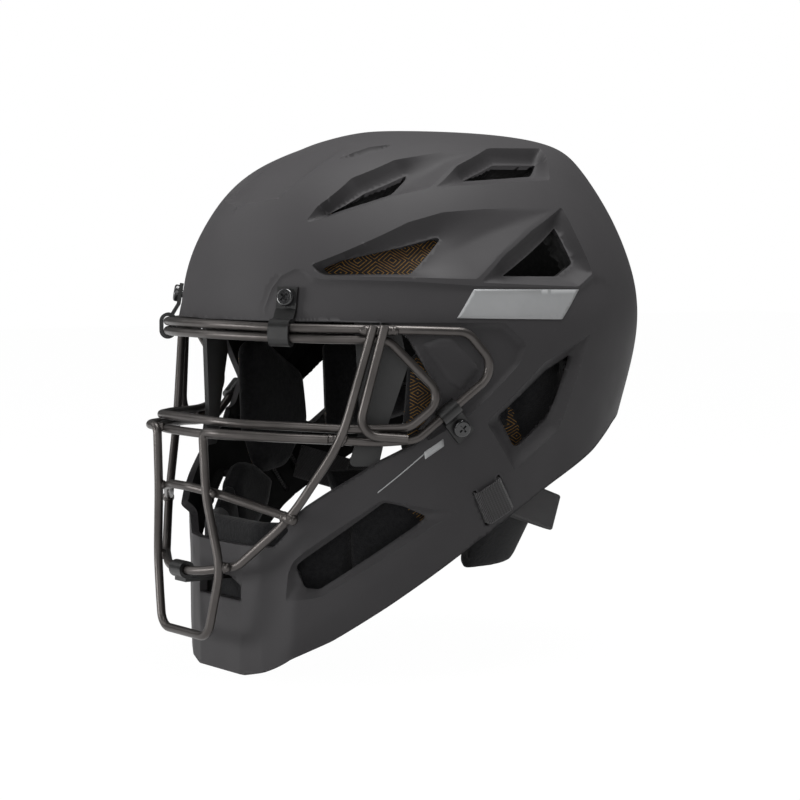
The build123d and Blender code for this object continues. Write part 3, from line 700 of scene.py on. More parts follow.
class Finish(Nodes):
    """Material with one shader whose even values sit on its own sockets, in the frame's own metres."""

    def __init__(self, name, colour, roughness, metallic=0.0, specular=0.5, sheen=0.0, coat=0.0):
        self.material = bpy.data.materials.new(name)
        super().__init__(self.material)
        self.shader = self.tree.nodes["Principled BSDF"]
        self.set("Base Color", (*colour, 1))
        self.set("Roughness", roughness)
        self.set("Metallic", metallic)
        self.set("Specular IOR Level", specular)
        self.set("Sheen Weight", sheen)
        self.set("Coat Weight", coat)

    def set(self, label, value):
        """Give one of the shader's inputs a value or a socket."""
        self.fill(self.shader.inputs[label], value)

    def object_place(self):
        """Object coordinates, which are the frame's own metres."""
        return self.add("ShaderNodeTexCoord").outputs["Object"]

    def noise(self, scale, detail, roughness=0.5):
        """Soft noise between 0 and 1."""
        place = self.object_place()
        made = self.add("ShaderNodeTexNoise", Vector=place, Scale=scale, Detail=detail, Roughness=roughness)
        return made.outputs["Fac"]

    def cells(self, scale):
        """Distance from the middle of the nearest of many packed cells."""
        made = self.add("ShaderNodeTexVoronoi", Vector=self.object_place(), Scale=scale)
        return made.outputs["Distance"]

    def ramp(self, fac, *stops):
        """Colour between two (place, colour) stops; a colour that is one number is a grey."""
        made = self.add("ShaderNodeValToRGB", Fac=fac)
        for element, (place, colour) in zip(made.color_ramp.elements, stops):
            element.position = place
            element.color = (*colour, 1) if isinstance(colour, tuple) else (colour, colour, colour, 1)
        return made.outputs["Color"]

    def tint(self, fac, *stops):
        """Base colour between two stops."""
        self.set("Base Color", self.ramp(fac, *stops))

    def uneven(self, fac, low, high):
        """Roughness from low to high with a socket."""
        made = self.add("ShaderNodeMapRange", Value=fac, To_Min=low, To_Max=high)
        self.set("Roughness", made.outputs["Result"])

    def bump(self, height, distance_m, strength):
        """Raise the surface by a height socket."""
        made = self.add("ShaderNodeBump", Height=height, Distance=distance_m, Strength=strength)
        self.set("Normal", made.outputs["Normal"])


def moulded_charcoal():
    """Soft-touch charcoal paint on the moulded shell: fine grain, faint cloudiness, uneven gloss."""
    look = Finish("moulded_charcoal", (0.054, 0.052, 0.054), 0.6, specular=0.16)
    look.tint(look.noise(22, 3), (0.3, (0.051, 0.049, 0.051)), (0.7, (0.057, 0.055, 0.057)))
    look.uneven(look.noise(60, 4), 0.50, 0.62)
    look.bump(look.noise(2600, 2), 0.06 * mm, 0.6)
    return look.material


def satin_wire():
    """Gun-metal coating on the cage wire: satin, slightly uneven, with fine pits."""
    look = Finish("satin_wire", (0.085, 0.078, 0.075), 0.38, metallic=0.8)
    look.tint(look.noise(60, 3), (0.3, (0.070, 0.064, 0.061)), (0.7, (0.098, 0.090, 0.086)))
    look.uneven(look.noise(420, 3), 0.32, 0.44)
    look.bump(look.noise(900, 3), 0.06 * mm, 0.4)
    return look.material


def black_plastic():
    """Black moulded clips with a light grain and handling marks."""
    look = Finish("black_plastic", (0.006, 0.006, 0.006), 0.36)
    look.uneven(look.noise(260, 4), 0.28, 0.42)
    look.bump(look.noise(3000, 2), 0.05 * mm, 0.6)
    return look.material


def black_steel():
    """Black coated screws and nuts, lighter and less shiny where they are worn."""
    look = Finish("black_steel", (0.008, 0.008, 0.009), 0.22, specular=0.6, coat=0.4)
    worn = look.noise(700, 4, 0.6)
    look.tint(worn, (0.45, (0.006, 0.006, 0.007)), (0.80, (0.025, 0.025, 0.026)))
    look.uneven(worn, 0.16, 0.34)
    return look.material


def black_foam():
    """Moulded bead foam: packed cells, dented between, with painted shade darkening each cell towards its
    rim.
    """
    look = Finish("black_foam", (0.012, 0.012, 0.013), 0.8, specular=0.3)
    cells = look.cells(330)
    # Painted shade: the colour darkens from each cell's middle to its rim, where the bump dents it.
    look.tint(cells, (0.0, 0.016), (0.6, 0.009))
    look.bump(cells, -0.5 * mm, 0.6)
    return look.material


def unlit_inside():
    """Inner face of the moulding: the shell's plastic painted near black as shade, matt, with a faint
    texture.
    """
    # Painted shade: a near-black copy of the shell's plastic for the inner face.
    look = Finish("unlit_inside", (0.010, 0.010, 0.010), 0.85, specular=0.2)
    look.tint(look.noise(120, 3), (0.3, 0.007), (0.7, 0.012))
    look.bump(look.noise(1500, 2), 0.1 * mm, 0.5)
    return look.material


def brushed_knit():
    """Black brushed knit over padding: fine loops, a soft nap and a sheen at grazing light."""
    look = Finish("brushed_knit", (0.009, 0.009, 0.010), 0.9, specular=0.2, sheen=0.12)
    look.set("Sheen Roughness", 0.5)
    nap = look.noise(420, 4, 0.65)
    look.tint(nap, (0.3, (0.005, 0.005, 0.006)), (0.75, (0.015, 0.015, 0.016)))
    look.bump(look.maths("ADD", look.maths("MULTIPLY", look.cells(1400), 0.5), nap), 0.5 * mm, 0.7)
    return look.material


def printed_knit():
    """Black pad cloth printed with amber nested diamonds, drawn on the side view's Y and Z.

    The two legs of a cell are the distances from its middle; their sum, cut into bands, gives the lines.
    """
    look = Finish("printed_knit", (0.012, 0.012, 0.012), 0.75, specular=0.3, sheen=0.1)
    cell_length, cell_height, bands, line_share = 15 * mm, 12 * mm, 7.0, 0.24
    axes = look.add("ShaderNodeSeparateXYZ", Vector=look.object_place()).outputs
    legs = []
    for axis, pitch in (("Y", cell_length), ("Z", cell_height)):
        cell = look.maths("FRACT", look.maths("MULTIPLY", axes[axis], 1 / pitch))
        legs.append(look.maths("ABSOLUTE", look.maths("SUBTRACT", cell, 0.5)))
    band = look.maths("FRACT", look.maths("MULTIPLY", look.maths("ADD", *legs), bands))
    line = look.maths("LESS_THAN", band, line_share)
    thread = look.noise(900, 2)
    amber = look.ramp(thread, (0.3, (0.15, 0.075, 0.012)), (0.7, (0.33, 0.17, 0.03)))
    # Inputs 0, 6 and 7 of a colour mix are its factor and its two colours
    mix = look.add("ShaderNodeMix", data_type="RGBA")
    for socket, value in zip((0, 6, 7), (line, (0.008, 0.008, 0.009, 1), amber)):
        look.fill(mix.inputs[socket], value)
    look.set("Base Color", mix.outputs[2])
    look.bump(thread, 0.3 * mm, 0.5)
    return look.material


def dark_grey_plate():
    """Dark grey moulded plate with a fine grain."""
    look = Finish("dark_grey_plate", (0.028, 0.027, 0.028), 0.5, specular=0.4)
    look.tint(look.noise(40, 3), (0.3, 0.024), (0.7, 0.031))
    look.bump(look.noise(2200, 2), 0.08 * mm, 0.6)
    return look.material


def ribbed_webbing():
    """Dark grey webbing: twill ribs and threads are waves along the ribbon's own map; the colour is painted
    lighter on the rib crests and darker in the grooves, as painted light and shade.
    """
    look = Finish("ribbed_webbing", (0.035, 0.034, 0.035), 0.72, specular=0.3, sheen=0.2)
    rib_pitch, thread_pitch, slant = 1.1 * mm, 0.55 * mm, 0.8
    weave = look.add("ShaderNodeUVMap", uv_map="ribbon").outputs["UV"]
    axes = look.add("ShaderNodeSeparateXYZ", Vector=weave).outputs
    across = look.maths("ADD", axes["X"], look.maths("MULTIPLY", axes["Y"], slant))
    twill = look.maths("SINE", look.maths("MULTIPLY", across, 2 * math.pi / rib_pitch))
    thread = look.maths("SINE", look.maths("MULTIPLY", axes["X"], 2 * math.pi / thread_pitch))
    # Painted light and shade of the ribs: the colour follows the same wave as the bump, lighter on crests and
    # darker in grooves.
    rib_light_and_shade = look.add("ShaderNodeMapRange", Value=twill, From_Min=-1, To_Min=0, To_Max=1).outputs["Result"]
    look.tint(rib_light_and_shade, (0.1, (0.022, 0.021, 0.022)), (0.8, (0.060, 0.058, 0.059)))
    look.bump(look.maths("ADD", twill, look.maths("MULTIPLY", thread, 0.4)), 0.18 * mm, 0.8)
    return look.material


def silver_film():
    """Plain silver film on the bare badge plates, with faint handling marks."""
    look = Finish("silver_film", (0.38, 0.385, 0.39), 0.42, metallic=0.2, specular=0.4)
    look.tint(look.noise(90, 4), (0.3, (0.365, 0.37, 0.375)), (0.7, (0.395, 0.40, 0.405)))
    look.uneven(look.noise(400, 4), 0.36, 0.5)
    return look.material


finishes = {
    "shell": moulded_charcoal(),
    "inner": unlit_inside(),
    "cage": satin_wire(),
    "clip": black_plastic(),
    "hardware": black_steel(),
    "foam": black_foam(),
    "pad": brushed_knit(),
    "print": printed_knit(),
    "plate": dark_grey_plate(),
    "webbing": ribbed_webbing(),
    "badge": silver_film(),
}


def dress(piece, finish, slot_name, body, *nodes):
    """Give a new piece its finish or finishes, its body and the nodes that it stands for; its record slot is
    not used.
    """
    piece.data.materials.clear()
    for name in (finish if isinstance(finish, tuple) else (finish,)):
        piece.data.materials.append(finishes[name])
    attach(piece, body)
    if nodes:
        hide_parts(*nodes)
    return piece


# Meshes of pieces
@contextmanager
def editing(piece):
    """A piece's mesh, opened for edits and written back after them."""
    work = bmesh.new()
    work.from_mesh(piece.data)
    yield work
    work.to_mesh(piece.data)
    work.free()


def read(items, label):
    """A measure of each of a mesh's points or faces, in rows of three."""
    values = np.zeros(len(items) * 3)
    items.foreach_get(label, values)
    return values.reshape(-1, 3)


def set_corners(piece, places):
    """Write places back into the mesh."""
    piece.data.vertices.foreach_set("co", places.ravel())
    piece.data.update()


def grid_quads(rows, columns):
    """Quads between the points of a grid, row by row, with the last column joined to the first."""
    index = np.arange(rows * columns).reshape(rows, columns)
    on = np.roll(index, -1, axis=1)
    return np.stack([index[:-1], on[:-1], on[1:], index[1:]], axis=-1)


def merge(piece):
    """Make one of the points that lie within a hair of each other."""
    with editing(piece) as work:
        bmesh.ops.remove_doubles(work, verts=work.verts, dist=hair)


def outward_closed(piece):
    """Turn the faces of a closed piece outwards."""
    with editing(piece) as work:
        bmesh.ops.recalc_face_normals(work, faces=work.faces)


def outward(piece):
    """Merge a piece's points and turn its faces to one side: away from the heart, summed over their areas."""
    merge(piece)
    middle = Vector(heart)
    with editing(piece) as work:
        bmesh.ops.dissolve_degenerate(work, edges=work.edges, dist=hair)
        bmesh.ops.recalc_face_normals(work, faces=work.faces)
        away = sum(
            face.calc_area() * face.normal.dot(face.calc_center_median() - middle) for face in work.faces
        )
        if away < 0:
            bmesh.ops.reverse_faces(work, faces=work.faces)


def walled(piece, thickness, edge):
    """Give an open skin a wall inwards, with the piece's second finish, and round its rims."""
    solid = piece.modifiers.new("wall", "SOLIDIFY")
    solid.thickness = thickness
    solid.offset = -1
    solid.use_even_offset = False
    solid.material_offset = 1
    bevel = piece.modifiers.new("rims", "BEVEL")
    bevel.width = edge
    bevel.segments = 2
    bevel.limit_method = "ANGLE"
    bevel.angle_limit = math.radians(rim_angle)


def smooth(piece, angle=None):
    """Smooth shading, with edges sharper than an angle kept."""
    piece.data.shade_smooth()
    if angle is not None:
        limit = math.radians(angle)
        with editing(piece) as work:
            for edge in work.edges:
                edge.smooth = not (len(edge.link_faces) == 2 and edge.calc_face_angle() > limit)


def crease(piece, points, angle):
    """Sharp shading on the edges that run along the given points and turn by more than an angle."""
    tree = kdtree.KDTree(len(points))
    for k, point in enumerate(points):
        tree.insert(point, k)
    tree.balance()
    near = [tree.find(vertex.co)[2] < crease_reach for vertex in piece.data.vertices]
    limit = math.radians(angle)
    with editing(piece) as work:
        for edge in work.edges:
            if near[edge.verts[0].index] and near[edge.verts[1].index] and len(edge.link_faces) == 2:
                edge.smooth = edge.calc_face_angle() < limit


def mirrored(points, faces):
    """Both halves with the middle line shared, faces of the right half turned round."""
    count = len(points)
    on_middle = points[:, 0] < 0.1 * hair
    other = np.arange(count) + count
    other[on_middle] = np.where(on_middle)[0]
    both = np.concatenate([points, points * (-1, 1, 1)])
    faces = np.concatenate([faces, other[faces][:, ::-1]])
    used, faces = np.unique(faces, return_inverse=True)
    return both[used], faces.reshape(-1, 3)


def both_sides(left, name):
    """A left piece and its mirror image, each with the name of its side."""
    right = bpy.data.objects.new(name + "_right", left.data.copy())
    bpy.context.scene.collection.objects.link(right)
    set_corners(right, read(right.data.vertices, "co") * (-1, 1, 1))
    right.data.flip_normals()
    right.data.update()
    return (left, "left"), (right, "right")


# Shell
crest_round = 0.3 * mm
bowl = 1.7
crease_angle = 13
crease_reach = 0.05 * mm
jaw_fold_round = 3 * mm
jaw_fold_front = 20 * mm
jaw_fold_back = 60 * mm
chin_level = -94 * mm
chin_fade = 6 * mm


def skin_normals(spots, points):
    """Unit normals of the plain skin, pointing out, from short steps both ways."""
    nudge = 0.4 * mm
    along = skin.place(spots + (nudge, 0)) - skin.place(spots - (nudge, 0))
    down = skin.place(spots + (0, nudge)) - skin.place(spots - (0, nudge))
    normals = np.cross(down, along)
    normals[np.linalg.norm(normals, axis=1) < 1e-12] = (0, 0, 1)
    normals /= np.linalg.norm(normals, axis=1, keepdims=True)
    normals[np.sum(normals * (points - heart), axis=1) < 0] *= -1
    normals[points[:, 0] < hair, 0] = 0
    normals /= np.maximum(np.linalg.norm(normals, axis=1, keepdims=True), 1e-12)
    return normals


def vent_sink(spots, points):
    """Depth of the tapered mouths by the share of the way to the hole: steep under the rim, flat inside."""
    sink = np.zeros(len(spots))
    for name, (mouth, hole) in vents.items():
        depth = jaw_vent_depth if name == "jaw" else vent_depth
        at = np.where(inside(spots, mouth.spots))[0]
        from_rim = distance(points[at], mouth.line)
        to_hole = distance(points[at], hole.line)
        from_rim = np.sqrt(from_rim**2 + crest_round**2) - crest_round
        share = from_rim / (from_rim + to_hole + 1e-9)
        share[inside(spots[at], hole.spots)] = 1
        sink[at] = np.maximum(sink[at], depth * (1 - (1 - share) ** bowl))
    return sink


def jaw_fold(points):
    """Inward lean of the jaw's lower band: a slope times the depth below a line in the side view."""
    start, end = side(jaw_fold_shares)
    run = (end - start) / np.linalg.norm(end - start)
    below = (points[:, 1] - start[0]) * run[1] - (points[:, 2] - start[1]) * run[0]
    fade = soft_step((points[:, 1] + chin_reach) / jaw_fold_front)
    fade *= soft_step((jaw_fold_back - points[:, 1]) / jaw_fold_back)
    lean = 0.5 * (below + np.sqrt(below**2 + jaw_fold_round**2) - jaw_fold_round)
    return jaw_fold_slope * lean.clip(0) * fade


def skin_sink(spots, points):
    """Depth of every form of the outer face under the plain skin."""
    sink = vent_sink(spots, points)
    for relief in reliefs.values():
        sink += relief.sink(spots, points)
    return sink + jaw_fold(points)


def chin_front(points):
    """Y of the flat chin, of the bevel beside it and of the cheek that falls back from there, by X."""
    across = np.abs(points[:, 0])
    bevel_end = chin_flat_half + chin_bevel_width
    bevel = np.clip(across - chin_flat_half, 0, chin_bevel_width) * chin_bevel_slope
    cheek = np.maximum(across - bevel_end, 0) * chin_cheek_slope
    return -chin_reach + bevel + cheek


def flatten_chin(points):
    """Push the nose of the lower skin back to the chin's front, with a small rounding."""
    front = chin_front(points)
    gap = points[:, 1] - front
    pushed = front + 0.5 * (gap + np.sqrt(gap**2 + chin_round**2))
    points[:, 1] += (pushed - points[:, 1]) * soft_step((chin_level - points[:, 2]) / chin_fade)
    return points


def shell_points(spots):
    """Places on the finished outer face of the left half."""
    points = skin.place(spots)
    sink = skin_sink(spots, points)
    normals = skin_normals(spots, points)
    return flatten_chin(points) - normals * sink[:, None]


def make_shell():
    """The moulded shell: one skin cut along its openings, sunk at its vents, with a wall inwards."""
    holes = [port, under, chin_slot] + slots + [hole for _, hole in vents.values()]
    lines = [mouth for mouth, _ in vents.values()] + [relief.edge for relief in reliefs.values()]
    spots, faces = sheet_mesh(holes, lines)
    piece = mesh_object("moulded_shell", *mirrored(shell_points(spots), faces))
    outward(piece)
    walled(piece, wall, shell_rim)
    smooth(piece)
    crests = np.concatenate([shell_points(line.spots) for line in lines])
    crease(piece, np.concatenate([crests, crests * (-1, 1, 1)]), crease_angle)
    dress(piece, ("shell", "inner"), "shell", "root", "shell")


make_shell()


# Webbing
ribbon_step = 0.5 * mm
ribbon_columns = 25
ribbon_crease = 50


def ribbon(name, path, origin, x_dir, y_dir):
    """Webbing along a path in a plane: a rounded flat section, its width square to the plane."""
    half_span, half_thick = webbing_width / 2, webbing_thickness / 2
    path = dense(rounded_path(path, 1.5 * webbing_thickness), ribbon_step, closed=False)
    tangent = np.gradient(path, axis=0)
    tangent /= np.linalg.norm(tangent, axis=1, keepdims=True)
    face = np.linspace(-1, 1, ribbon_columns) * half_span
    past = np.maximum(np.abs(face) - half_span + half_thick, 0) / half_thick
    lift = np.sqrt(np.clip(1 - past**2, 0, 1)) * half_thick
    across = np.concatenate([face, face[-2:0:-1]])
    lift = np.concatenate([lift, -lift[-2:0:-1]])
    plane = np.stack([x_dir, y_dir])
    centre = origin + path @ plane
    out = np.stack([-tangent[:, 1], tangent[:, 0]], axis=-1) @ plane
    points = centre[:, None] + lift[None, :, None] * out[:, None]
    points = points + across[None, :, None] * np.cross(x_dir, y_dir)
    rows, columns = len(path), len(across)
    start = np.arange(columns)
    caps = [start[::-1].tolist(), (start + (rows - 1) * columns).tolist()]
    quads = grid_quads(rows, columns).reshape(-1, 4).tolist()
    piece = mesh_object(name, points.reshape(-1, 3), quads + caps)
    length = np.concatenate([[0], np.cumsum(np.linalg.norm(np.diff(path, axis=0), axis=1))])
    u = np.repeat(length, columns)
    v = np.tile(across, rows)
    corner = np.zeros(len(piece.data.loops), int)
    piece.data.loops.foreach_get("vertex_index", corner)
    weave = piece.data.uv_layers.new(name="ribbon")
    weave.data.foreach_set("uv", np.stack([u[corner], v[corner]], axis=-1).ravel())
    outward_closed(piece)
    smooth(piece, ribbon_crease)
    return piece


strap_reach = 56 * mm
strap_drift = 19 * mm
strap_tilt = math.radians(18.0)
sewn_share = 0.40
hinge_gap = 0.3 * mm
nape_pad_lean = math.radians(25.0)
nape_pad_thickness = 11 * mm
nape_radius = 62 * mm
nape_pad_level = -0.372 * shell_height
loop_depth = wall + seat_gap + webbing_thickness
loop_rise = webbing_lift + webbing_thickness / 2


def make_webbing():
    """The loop through the slots and the strap from it to the nape pad, both sides."""
    half_gap = slot_spacing / 2
    loop = ((-half_gap, -loop_depth), (-half_gap, loop_rise), (half_gap, loop_rise), (half_gap, -loop_depth))
    left = ribbon("webbing_loop_left", loop, slot_middle, slot_across, slot_normal)
    hinge = slot_middle + slot_across * half_gap - slot_normal * (loop_depth + hinge_gap + webbing_thickness)
    back = np.array((0, math.cos(strap_tilt), -math.sin(strap_tilt)))
    fold_out = hinge[0] - strap_drift
    sewn = (0, hinge[1], hinge[2]) + back * strap_reach * sewn_share
    pad_side = nape_radius + (sewn[2] - nape_pad_level) * math.tan(nape_pad_lean)
    pad_side += nape_pad_thickness / 2 / math.cos(nape_pad_lean)
    pad_side = math.sqrt(pad_side**2 - sewn[1] ** 2)
    path = (
        (hinge[0], 0),
        (fold_out, strap_reach),
        (fold_out - 2 * webbing_thickness, strap_reach - webbing_thickness),
        (pad_side + webbing_thickness / 2, strap_reach * sewn_share),
    )
    origin = np.array((0, hinge[1], hinge[2]))
    strap = ribbon("nape_webbing_left", path, origin, np.array((1.0, 0, 0)), back)
    for piece, side_name in both_sides(left, "webbing_loop"):
        dress(piece, "webbing", "webbing", "root", "strap_anchor_" + side_name)
    for piece, side_name in both_sides(strap, "nape_webbing"):
        dress(piece, "webbing", "webbing", "nape_harness", "nape_strap_" + side_name)


make_webbing()


# Padding
liner_wall = 0.8 * liner_thickness
print_margin = 8 * mm
ear_print_facing = 0.45
cushion_print_facing = 0.3
pillow_rim = 0.6


def node_copy(node_name, name):
    """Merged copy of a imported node's mesh as a new piece."""
    mesh = frame["nodes"][node_name].data.copy()
    mesh.materials.clear()
    piece = bpy.data.objects.new(name, mesh)
    bpy.context.scene.collection.objects.link(piece)
    merge(piece)
    return piece


def apply_modifiers(piece):
    """Put what the modifiers make into the piece's own mesh."""
    graph = bpy.context.evaluated_depsgraph_get()
    mesh = bpy.data.meshes.new_from_object(piece.evaluated_get(graph))
    old = piece.data
    piece.modifiers.clear()
    piece.data = mesh
    bpy.data.meshes.remove(old)


def stuffed(node_name, name, voxel=3 * mm, draw=1.0 * mm, cap=1.6 * mm, frames=14):
    """Padded piece: the node's form, remeshed, drawn in, then swelled by cloth under pressure up to a cap."""
    piece = node_copy(node_name, name)
    remesh = piece.modifiers.new("even", "REMESH")
    remesh.mode = "VOXEL"
    remesh.voxel_size = voxel
    apply_modifiers(piece)
    places = read(piece.data.vertices, "co") - read(piece.data.vertices, "normal") * draw
    set_corners(piece, places)
    cloth = piece.modifiers.new("stuffing", "CLOTH")
    cloth.settings.use_pressure = True
    cloth.settings.uniform_pressure_force = 4
    cloth.settings.effector_weights.gravity = 0
    cloth.settings.quality = 4
    for step in range(1, frames + 1):
        bpy.context.scene.frame_set(step)
    apply_modifiers(piece)
    move = read(piece.data.vertices, "co") - places
    reach = np.linalg.norm(move, axis=1, keepdims=True)
    set_corners(piece, places + move * np.minimum(1, cap / np.maximum(reach, 1e-9)))
    bpy.context.scene.frame_set(1)
    finer = piece.modifiers.new("finer", "SUBSURF")
    finer.levels = finer.render_levels = 1
    smooth(piece)
    return piece


def faces_out(piece, least):
    """Which faces look away from the middle plane, by the least share of their normal along X."""
    sides = np.sign(read(piece.data.polygons, "center")[:, 0])
    return read(piece.data.polygons, "normal")[:, 0] * sides > least


def print_on(piece, chosen):
    """Put the piece's second finish on the chosen faces."""
    piece.data.materials.append(finishes["print"])
    piece.data.polygons.foreach_set("material_index", chosen.astype(np.int32))
    piece.data.update()


def make_liner():
    """Bead foam inside the dome: the skin less the shell's wall, cut and windowed, with a wall of its own."""
    windows = [vents[name][1] for name in ("front_scoop", "top_rear", "rear_triangle")]
    spots, faces = sheet_mesh([liner_cut] + windows, [])
    points = skin.place(spots)
    depth = skin_sink(spots, points) + wall + fit_gap
    points, faces = mirrored(points - skin_normals(spots, points) * depth[:, None], faces)
    piece = mesh_object("foam_liner", points, faces)
    outward(piece)
    walled(piece, liner_wall, liner_rim)
    smooth(piece)
    dress(piece, "foam", "foam", "root", "liner")
    middles = read(piece.data.polygons, "center")[:, 1:]
    vent = vents["side_front"][1].line[:, 1:]
    near = (middles > vent.min(axis=0) - print_margin) & (middles < vent.max(axis=0) + print_margin)
    print_on(piece, np.all(near, axis=1))
    piece.modifiers["wall"].material_offset = 0


make_liner()

pad_nodes = {
    "brow_pad": ("brow_cushion", "root", 0.7),
    "crown_pad": ("crown_cushion", "root", 0.7),
    "rear_pad": ("rear_cushion", "root", 0.7),
    "ear_pad_left": ("ear_cushion_left", "root", 0.8),
    "ear_pad_right": ("ear_cushion_right", "root", 0.8),
    "chin_pad": ("chin_cushion", "root", 0.8),
    "nape_pad": ("nape_cushion", "nape_harness", 0.8),
}
for node_name, (piece_name, body, fill) in pad_nodes.items():
    pad = dress(stuffed(node_name, piece_name), "pad", "pad", body, node_name)
    if node_name.startswith("ear_pad"):
        print_on(pad, faces_out(pad, ear_print_facing))


def filled(outline, spots):
    """Triangles inside an outline on the skin, through the spots given."""
    count = len(outline.spots)
    edges = [(k, (k + 1) % count) for k in range(count)]
    spots, faces = triangulated(np.concatenate([outline.spots, spots]), edges)
    return spots, faces[inside(spots[faces].mean(axis=1), outline.spots)]


def skin_cushion(name, shares, depth, thickness, printed=None, nodes=()):
    """Pillow that follows the skin, left and right: its faces part from the rim by a quarter circle.

    depth is how far its outer face lies under the plain skin. printed is (y, z, run y, run z): the print
    covers what lies on the positive side of the line through (y, z) square to the run.
    """
    outline = Outline(side(shares), "side", cushion_round)
    spots = np.concatenate([even_grid(), strips(outline)])
    spots = spots[inside(spots, outline.spots)]
    spots, faces = filled(outline, spots[clear_of(spots, outline.line, row_gap)])
    points = skin.place(spots)
    normals = skin_normals(spots, points)
    reach = np.clip(distance(points, outline.line) / (pillow_rim * thickness), 0, 1)
    swell = thickness / 2 * np.sqrt(1 - (1 - reach) ** 2)
    middle = depth + thickness / 2
    layers = [points - normals * (middle + way * swell)[:, None] for way in (-1, 1)]
    faces = np.concatenate([faces, faces[:, ::-1] + len(points)])
    left = mesh_object(name + "_left", np.concatenate(layers), faces)
    outward(left)
    smooth(left)
    for piece, side_name in both_sides(left, name):
        dress(piece, "pad", "pad", "root", *[f"{node}_{side_name}" for node in nodes])
        if printed:
            y, z, run_y, run_z = printed
            middles = read(piece.data.polygons, "center")
            past_line = (middles[:, 1] - y) * run_y + (middles[:, 2] - z) * run_z > 0
            print_on(piece, faces_out(piece, cushion_print_facing) & past_line)


front_jaw_shares = (
    (-0.870, -0.475), (-0.860, -0.400), (-0.745, -0.346), (-0.662, -0.3165),
    (-0.628, -0.448), (-0.700, -0.490), (-0.800, -0.500),
)
rear_jaw_shares = (
    (-0.664, -0.316), (-0.570, -0.280), (-0.470, -0.284),
    (-0.335, -0.322), (-0.395, -0.375), (-0.630, -0.450),
)
behind_ear_shares = (
    (0.023, -0.050), (0.327, -0.057), (0.389, -0.142), (0.498, -0.157),
    (0.498, -0.205), (0.300, -0.225), (0.023, -0.235),
)
skin_cushion(
    "behind_ear_cushion", behind_ear_shares, depth=15 * mm, thickness=17 * mm,
    printed=(8 * mm, -50 * mm, -1, -0.35),
)
skin_cushion("front_jaw_cushion", front_jaw_shares, depth=11 * mm, thickness=11 * mm)
skin_cushion(
    "jaw_cushion", rear_jaw_shares, depth=10 * mm, thickness=12 * mm,
    printed=(-52 * mm, -90 * mm, 9, 10), nodes=["jaw_pad"],
)


def make_chin_lining():
    """Foam behind the chin slot: a curved slab whose faces part from its rim by one less a sixth power."""
    half_x, half_z, thickness, curve = 36 * mm, 10 * mm, 6 * mm, 5 * mm
    centre = np.array((0, -107.5 * mm, -133 * mm))
    columns, rows = 49, 21
    u, v = np.meshgrid(np.linspace(-1, 1, columns), np.linspace(-1, 1, rows), indexing="ij")
    swell = thickness / 2 * np.sqrt(np.clip((1 - u**6) * (1 - v**6), 0, 1))
    layers = []
    for way in (-1, 1):
        layer = np.stack([u * half_x, curve * u**4 + way * swell, v * half_z], axis=-1)
        layers.append(layer.reshape(-1, 3) + centre)
    quads = grid_quads(columns, rows)[:, :-1].reshape(-1, 4)[:, ::-1]
    faces = np.concatenate([quads, quads[:, ::-1] + u.size])
    piece = mesh_object("chin_lining", np.concatenate(layers), faces)
    outward(piece)
    smooth(piece)
    dress(piece, "pad", "pad", "root")


make_chin_lining()

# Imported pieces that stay, each with its slot's finish
for part in frame["record"]["subparts"]:
    slot_name = part["material_slot"]
    if slot_name in ("cage", "clip", "hardware", "plate"):
        packed = frame["nodes"][part["node"]].data
        packed.materials.clear()
        packed.materials.append(finishes[slot_name])


# Welds
ripple_depth = 0.07
ripple_turns = 5
lean_hint = (0.0, 0.3, 1.0)


def weld(middle, along, half, radius):
    """Bead of weld metal: a blunt ellipse turned about its axis, with ripples along it."""
    rows, columns = 25, 16
    turn = np.arange(columns) * 2 * math.pi / columns
    u, v = np.meshgrid(np.linspace(-1, 1, rows), turn, indexing="ij")
    along = along / np.linalg.norm(along)
    aside = np.cross(along, lean_hint)
    aside /= np.linalg.norm(aside)
    other = np.cross(along, aside)
    ripples = 1 + ripple_depth * np.cos(u * half / radius * ripple_turns)
    size = radius * np.sqrt(np.clip(1 - u**4, 0, 1)) * ripples
    points = middle + (u * half)[..., None] * along
    points = points + (size * np.cos(v))[..., None] * aside + (size * np.sin(v))[..., None] * other
    return points.reshape(-1, 3), grid_quads(rows, columns).reshape(-1, 4)


# Left half of the welds: where, which way, half length and radius, in millimetres
weld_places = {
    "long_strut_top": ((90.0, -83.5, 2.0), (0.58, 0.82, -0.02), 6.5, 2.5),
    "short_strut_top": ((94.8, -76.5, 2.0), (0.58, 0.82, -0.02), 5.0, 2.4),
    "long_strut_middle": ((79.0, -94.0, -51.5), (-0.3, -0.3, -0.9), 3.6, 2.6),
    "short_strut_foot": ((92.0, -72.5, -50.6), (0.55, 0.83, 0.02), 8.0, 2.4),
    "cross_wire_end": ((60.0, -113.0, -91.3), (0.83, 0.49, -0.26), 5.0, 3.0),
    "front_wire_start": ((75.0, -98.5, -51.6), (-0.67, -0.74, 0.02), 6.0, 2.3),
    "front_wire_crossing": ((31.5, -133.0, -117.4), (-0.9, -0.4, -0.1), 3.6, 2.6),
    "cross_wire_crossing": ((24.8, -136.8, -80.2), (0.9, 0.3, -0.2), 3.4, 2.4),
    "front_wire_corner": ((26.0, -137.5, -50.2), (0.9, -0.2, 0.0), 4.5, 2.3),
}


def make_welds():
    """Every bead of the cage in one piece, mirrored to the right."""
    points, faces, count = [], [], 0
    for middle, along, half, radius in weld_places.values():
        for sign in (1, -1):
            flip = np.array((sign, 1, 1))
            bead, quads = weld(np.array(middle) * flip * mm, np.array(along) * flip, half * mm, radius * mm)
            points.append(bead)
            faces.append(quads + count)
            count += len(bead)
    piece = mesh_object("weld_beads", np.concatenate(points), np.concatenate(faces))
    merge(piece)
    outward_closed(piece)
    smooth(piece)
    dress(piece, "cage", "cage", "root")


make_welds()


